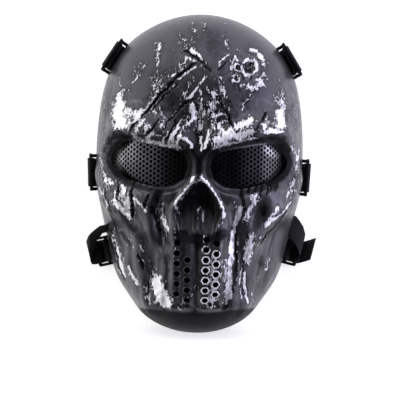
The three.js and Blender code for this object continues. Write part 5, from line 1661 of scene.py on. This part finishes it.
def moulded_plastic():
    """Black moulded plastic with a fine grain."""
    material, place = new_material("moulded plastic")
    cloudy = add_noise(place, scale=180.0)
    return shaded(material, {
        "Base Color": add_ramp(cloudy, [(0.3, grey(0.004, 0.005)), (0.8, grey(0.01, 0.012))]),
        "Roughness": plus(times(cloudy, 0.2), 0.3),
        "Normal": add_bump(add_noise(place, scale=2200.0, detail=2.0), strength=0.2, distance=0.0002),
    })


def add_wave(flat, direction, scale, distortion):
    wave = {"Vector": flat, "Scale": scale, "Distortion": distortion}
    bands = {"wave_type": "BANDS", "bands_direction": direction}
    return add_node(flat.id_data, "ShaderNodeTexWave", wave, **bands).outputs["Fac"]


def woven_webbing():
    """Black webbing: cross ribs of yarn broken by lengthwise lanes, with a fuzzy surface."""
    material, place = new_material("woven webbing")
    flat = add_node(material.node_tree, "ShaderNodeUVMap", uv_map="weave").outputs["UV"]
    yarn = times(add_wave(flat, "X", 220.0, 0.6), add_wave(flat, "Y", 150.0, 0.4))
    shade = plus(times(yarn, 0.7), times(add_noise(place, scale=1800.0), 0.3))
    return shaded(material, {
        "Base Color": add_ramp(shade, [(0.1, grey(0.002, 0.0025)), (0.9, grey(0.012, 0.014))]),
        "Roughness": 0.85,
        "Sheen Weight": 0.05,
        "Normal": add_bump(shade, strength=0.8, distance=0.0006),
    })


TABLE_GLOW = 0.72
CHIN_SHADOW = (62.0, 11.0)


def pale_floor():
    """A bright table: painted black and unlit under the hollow mask as painted shade, with a faint painted
    shadow below the chin.
    """
    material, place = new_material("pale table")
    hollow = add_spot(place, (0.0, 0.0), (HALF_WIDTH * 0.94, HALF_HEIGHT * 0.94))
    chin = add_spot(place, (0.0, -HALF_HEIGHT), CHIN_SHADOW)
    # Painted shade under the mask and a painted shadow below the chin dim the glow and the colour.
    bright = times(add_range(hollow, 0.96, 1.0), add_range(chin, 0.3, 1.0, 0.78, 1.0))
    pale = add_mix(add_noise(place, scale=9.0, detail=2.0), grey(0.92, 0.93), grey(0.94, 0.95))
    return shaded(material, {
        "Base Color": add_mix(bright, grey(0.01), pale),
        "Roughness": 0.6,
        "Emission Color": grey(1.0),
        "Emission Strength": times(bright, TABLE_GLOW),
    })


# Camera, floor and lights.

SHADE_TINT = (1.03, 1.0, 1.3, 1.0)


def place_camera():
    data = bpy.data.cameras.new("camera")
    data.sensor_width = SENSOR
    data.lens = SENSOR * CAMERA_HEIGHT / (IMAGE_SIZE * PIXEL)
    data.clip_end = 100.0
    camera = bpy.data.objects.new("camera", data)
    cos, sin = math.cos(CAMERA_ROLL), math.sin(CAMERA_ROLL)
    across, up = CAMERA_ACROSS, -CAMERA_DOWN
    place = Vector((across * cos - up * sin, across * sin + up * cos, CAMERA_HEIGHT)) * MM
    camera.location = place
    camera.rotation_euler = (0.0, 0.0, CAMERA_ROLL)
    bpy.context.scene.collection.objects.link(camera)
    bpy.context.scene.camera = camera


def lay_floor():
    size = 6000.0
    corners = [(-size, -size, 0), (size, -size, 0), (size, size, 0), (-size, size, 0)]
    floor = mesh_object("floor", corners, [(0, 1, 2, 3)])
    floor.data.materials.append(pale_floor())
    floor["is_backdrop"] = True


# The soft lights: their places and sizes in metres.
Light = namedtuple("Light", "name place size watts colour")
LIGHTS = [
    Light("crown softbox", (0.0, 1.7, 0.8), (1.6, 0.8), 6.0, (1.0, 1.0, 1.0)),
    Light("left softbox", (-1.4, 0.15, 0.6), (0.8, 1.3), 8.0, (1.0, 1.0, 1.0)),
    Light("right softbox", (1.4, 0.15, 0.6), (0.8, 1.3), 9.0, (0.98, 0.94, 1.2)),
]
LIGHT_AIM = Vector((0.0, 0.0, 0.05))


def soft_light(light):
    data = bpy.data.lights.new(light.name, "AREA")
    data.shape = "RECTANGLE"
    data.size, data.size_y = light.size
    data.energy = light.watts
    data.color = light.colour
    lamp = bpy.data.objects.new(light.name, data)
    lamp.location = light.place
    lamp.rotation_euler = (LIGHT_AIM - Vector(light.place)).to_track_quat("-Z", "Y").to_euler()
    bpy.context.scene.collection.objects.link(lamp)


def set_lights():
    """A bright horizon that fades upwards, dimmer below the chin, and three soft lights."""
    world = bpy.data.worlds.new("studio")
    bpy.context.scene.world = world
    world.use_nodes = True
    tree = world.node_tree
    x, y, z = axes(add_node(tree, "ShaderNodeTexCoord").outputs["Generated"])
    stops = ((0.0, 1.3), (0.35, 1.2), (0.62, 0.6), (0.82, 0.05), (1.0, 0.02))
    sky = add_ramp(z, [(position, grey(value)) for position, value in stops])
    open_side = add_range(larger(size_of(x), y), 0.1, 0.75, 0.1, 1.0)
    open_side = times(open_side, add_range(y, -0.65, -0.05, 0.4, 1.0))
    tint = add_mix(add_range(x, -0.35, 0.35), grey(1.0), SHADE_TINT)
    shine = add_node(tree, "ShaderNodeVectorMath", {0: sky, 1: tint}, operation="MULTIPLY")
    background = tree.nodes["Background"].inputs
    feed(background["Color"], shine.outputs[0])
    feed(background["Strength"], open_side)
    for light in LIGHTS:
        soft_light(light)
    bpy.context.scene.view_settings.view_transform = "Standard"


def keep(piece, slot, *nodes):
    """A finished piece rides with the mask and stands for frame nodes. Its slot is not used."""
    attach(piece, "root")
    if nodes:
        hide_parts(*nodes)


place_camera()
lay_floor()
set_lights()

paint = worn_paint_and_shade()
metal = screen_metal()
plastic = moulded_plastic()
webbing = woven_webbing()

shell = face_shell()
shell.data.materials.clear()
shell.data.materials.append(paint)
keep(shell, "shell", "face_shell")
keep(vent_rims(paint), "shell")

screen_tree = perforation_tree(metal)
for side, word in ((-1, "left"), (1, "right")):
    screen = eye_screen(side, screen_tree)
    screen.name = f"perforated_screen_{word}"
    keep(screen, "screen", f"eye_screen_{word}")
    for kind, roundness in (("crown_loop", 0.5), ("temple_loop", 0.5), ("jaw_buckle", 0.6)):
        node = f"{kind}_{word}"
        keep(softened(node, f"moulded_{node}", roundness, plastic), "plastic", node)
    keep(crown_strap(side, word, webbing), "webbing", f"crown_strap_{word}")
for tab in JAW_TABS:
    keep(jaw_tab(tab, webbing), "webbing", tab.node)
keep(temple_strap(webbing), "webbing", "temple_strap")
keep(neck_strap(webbing), "webbing", "neck_strap")

as_lists = lambda box: [list(corner) for corner in box]
{"cad": as_lists(cad_box), "visual": as_lists(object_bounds())}
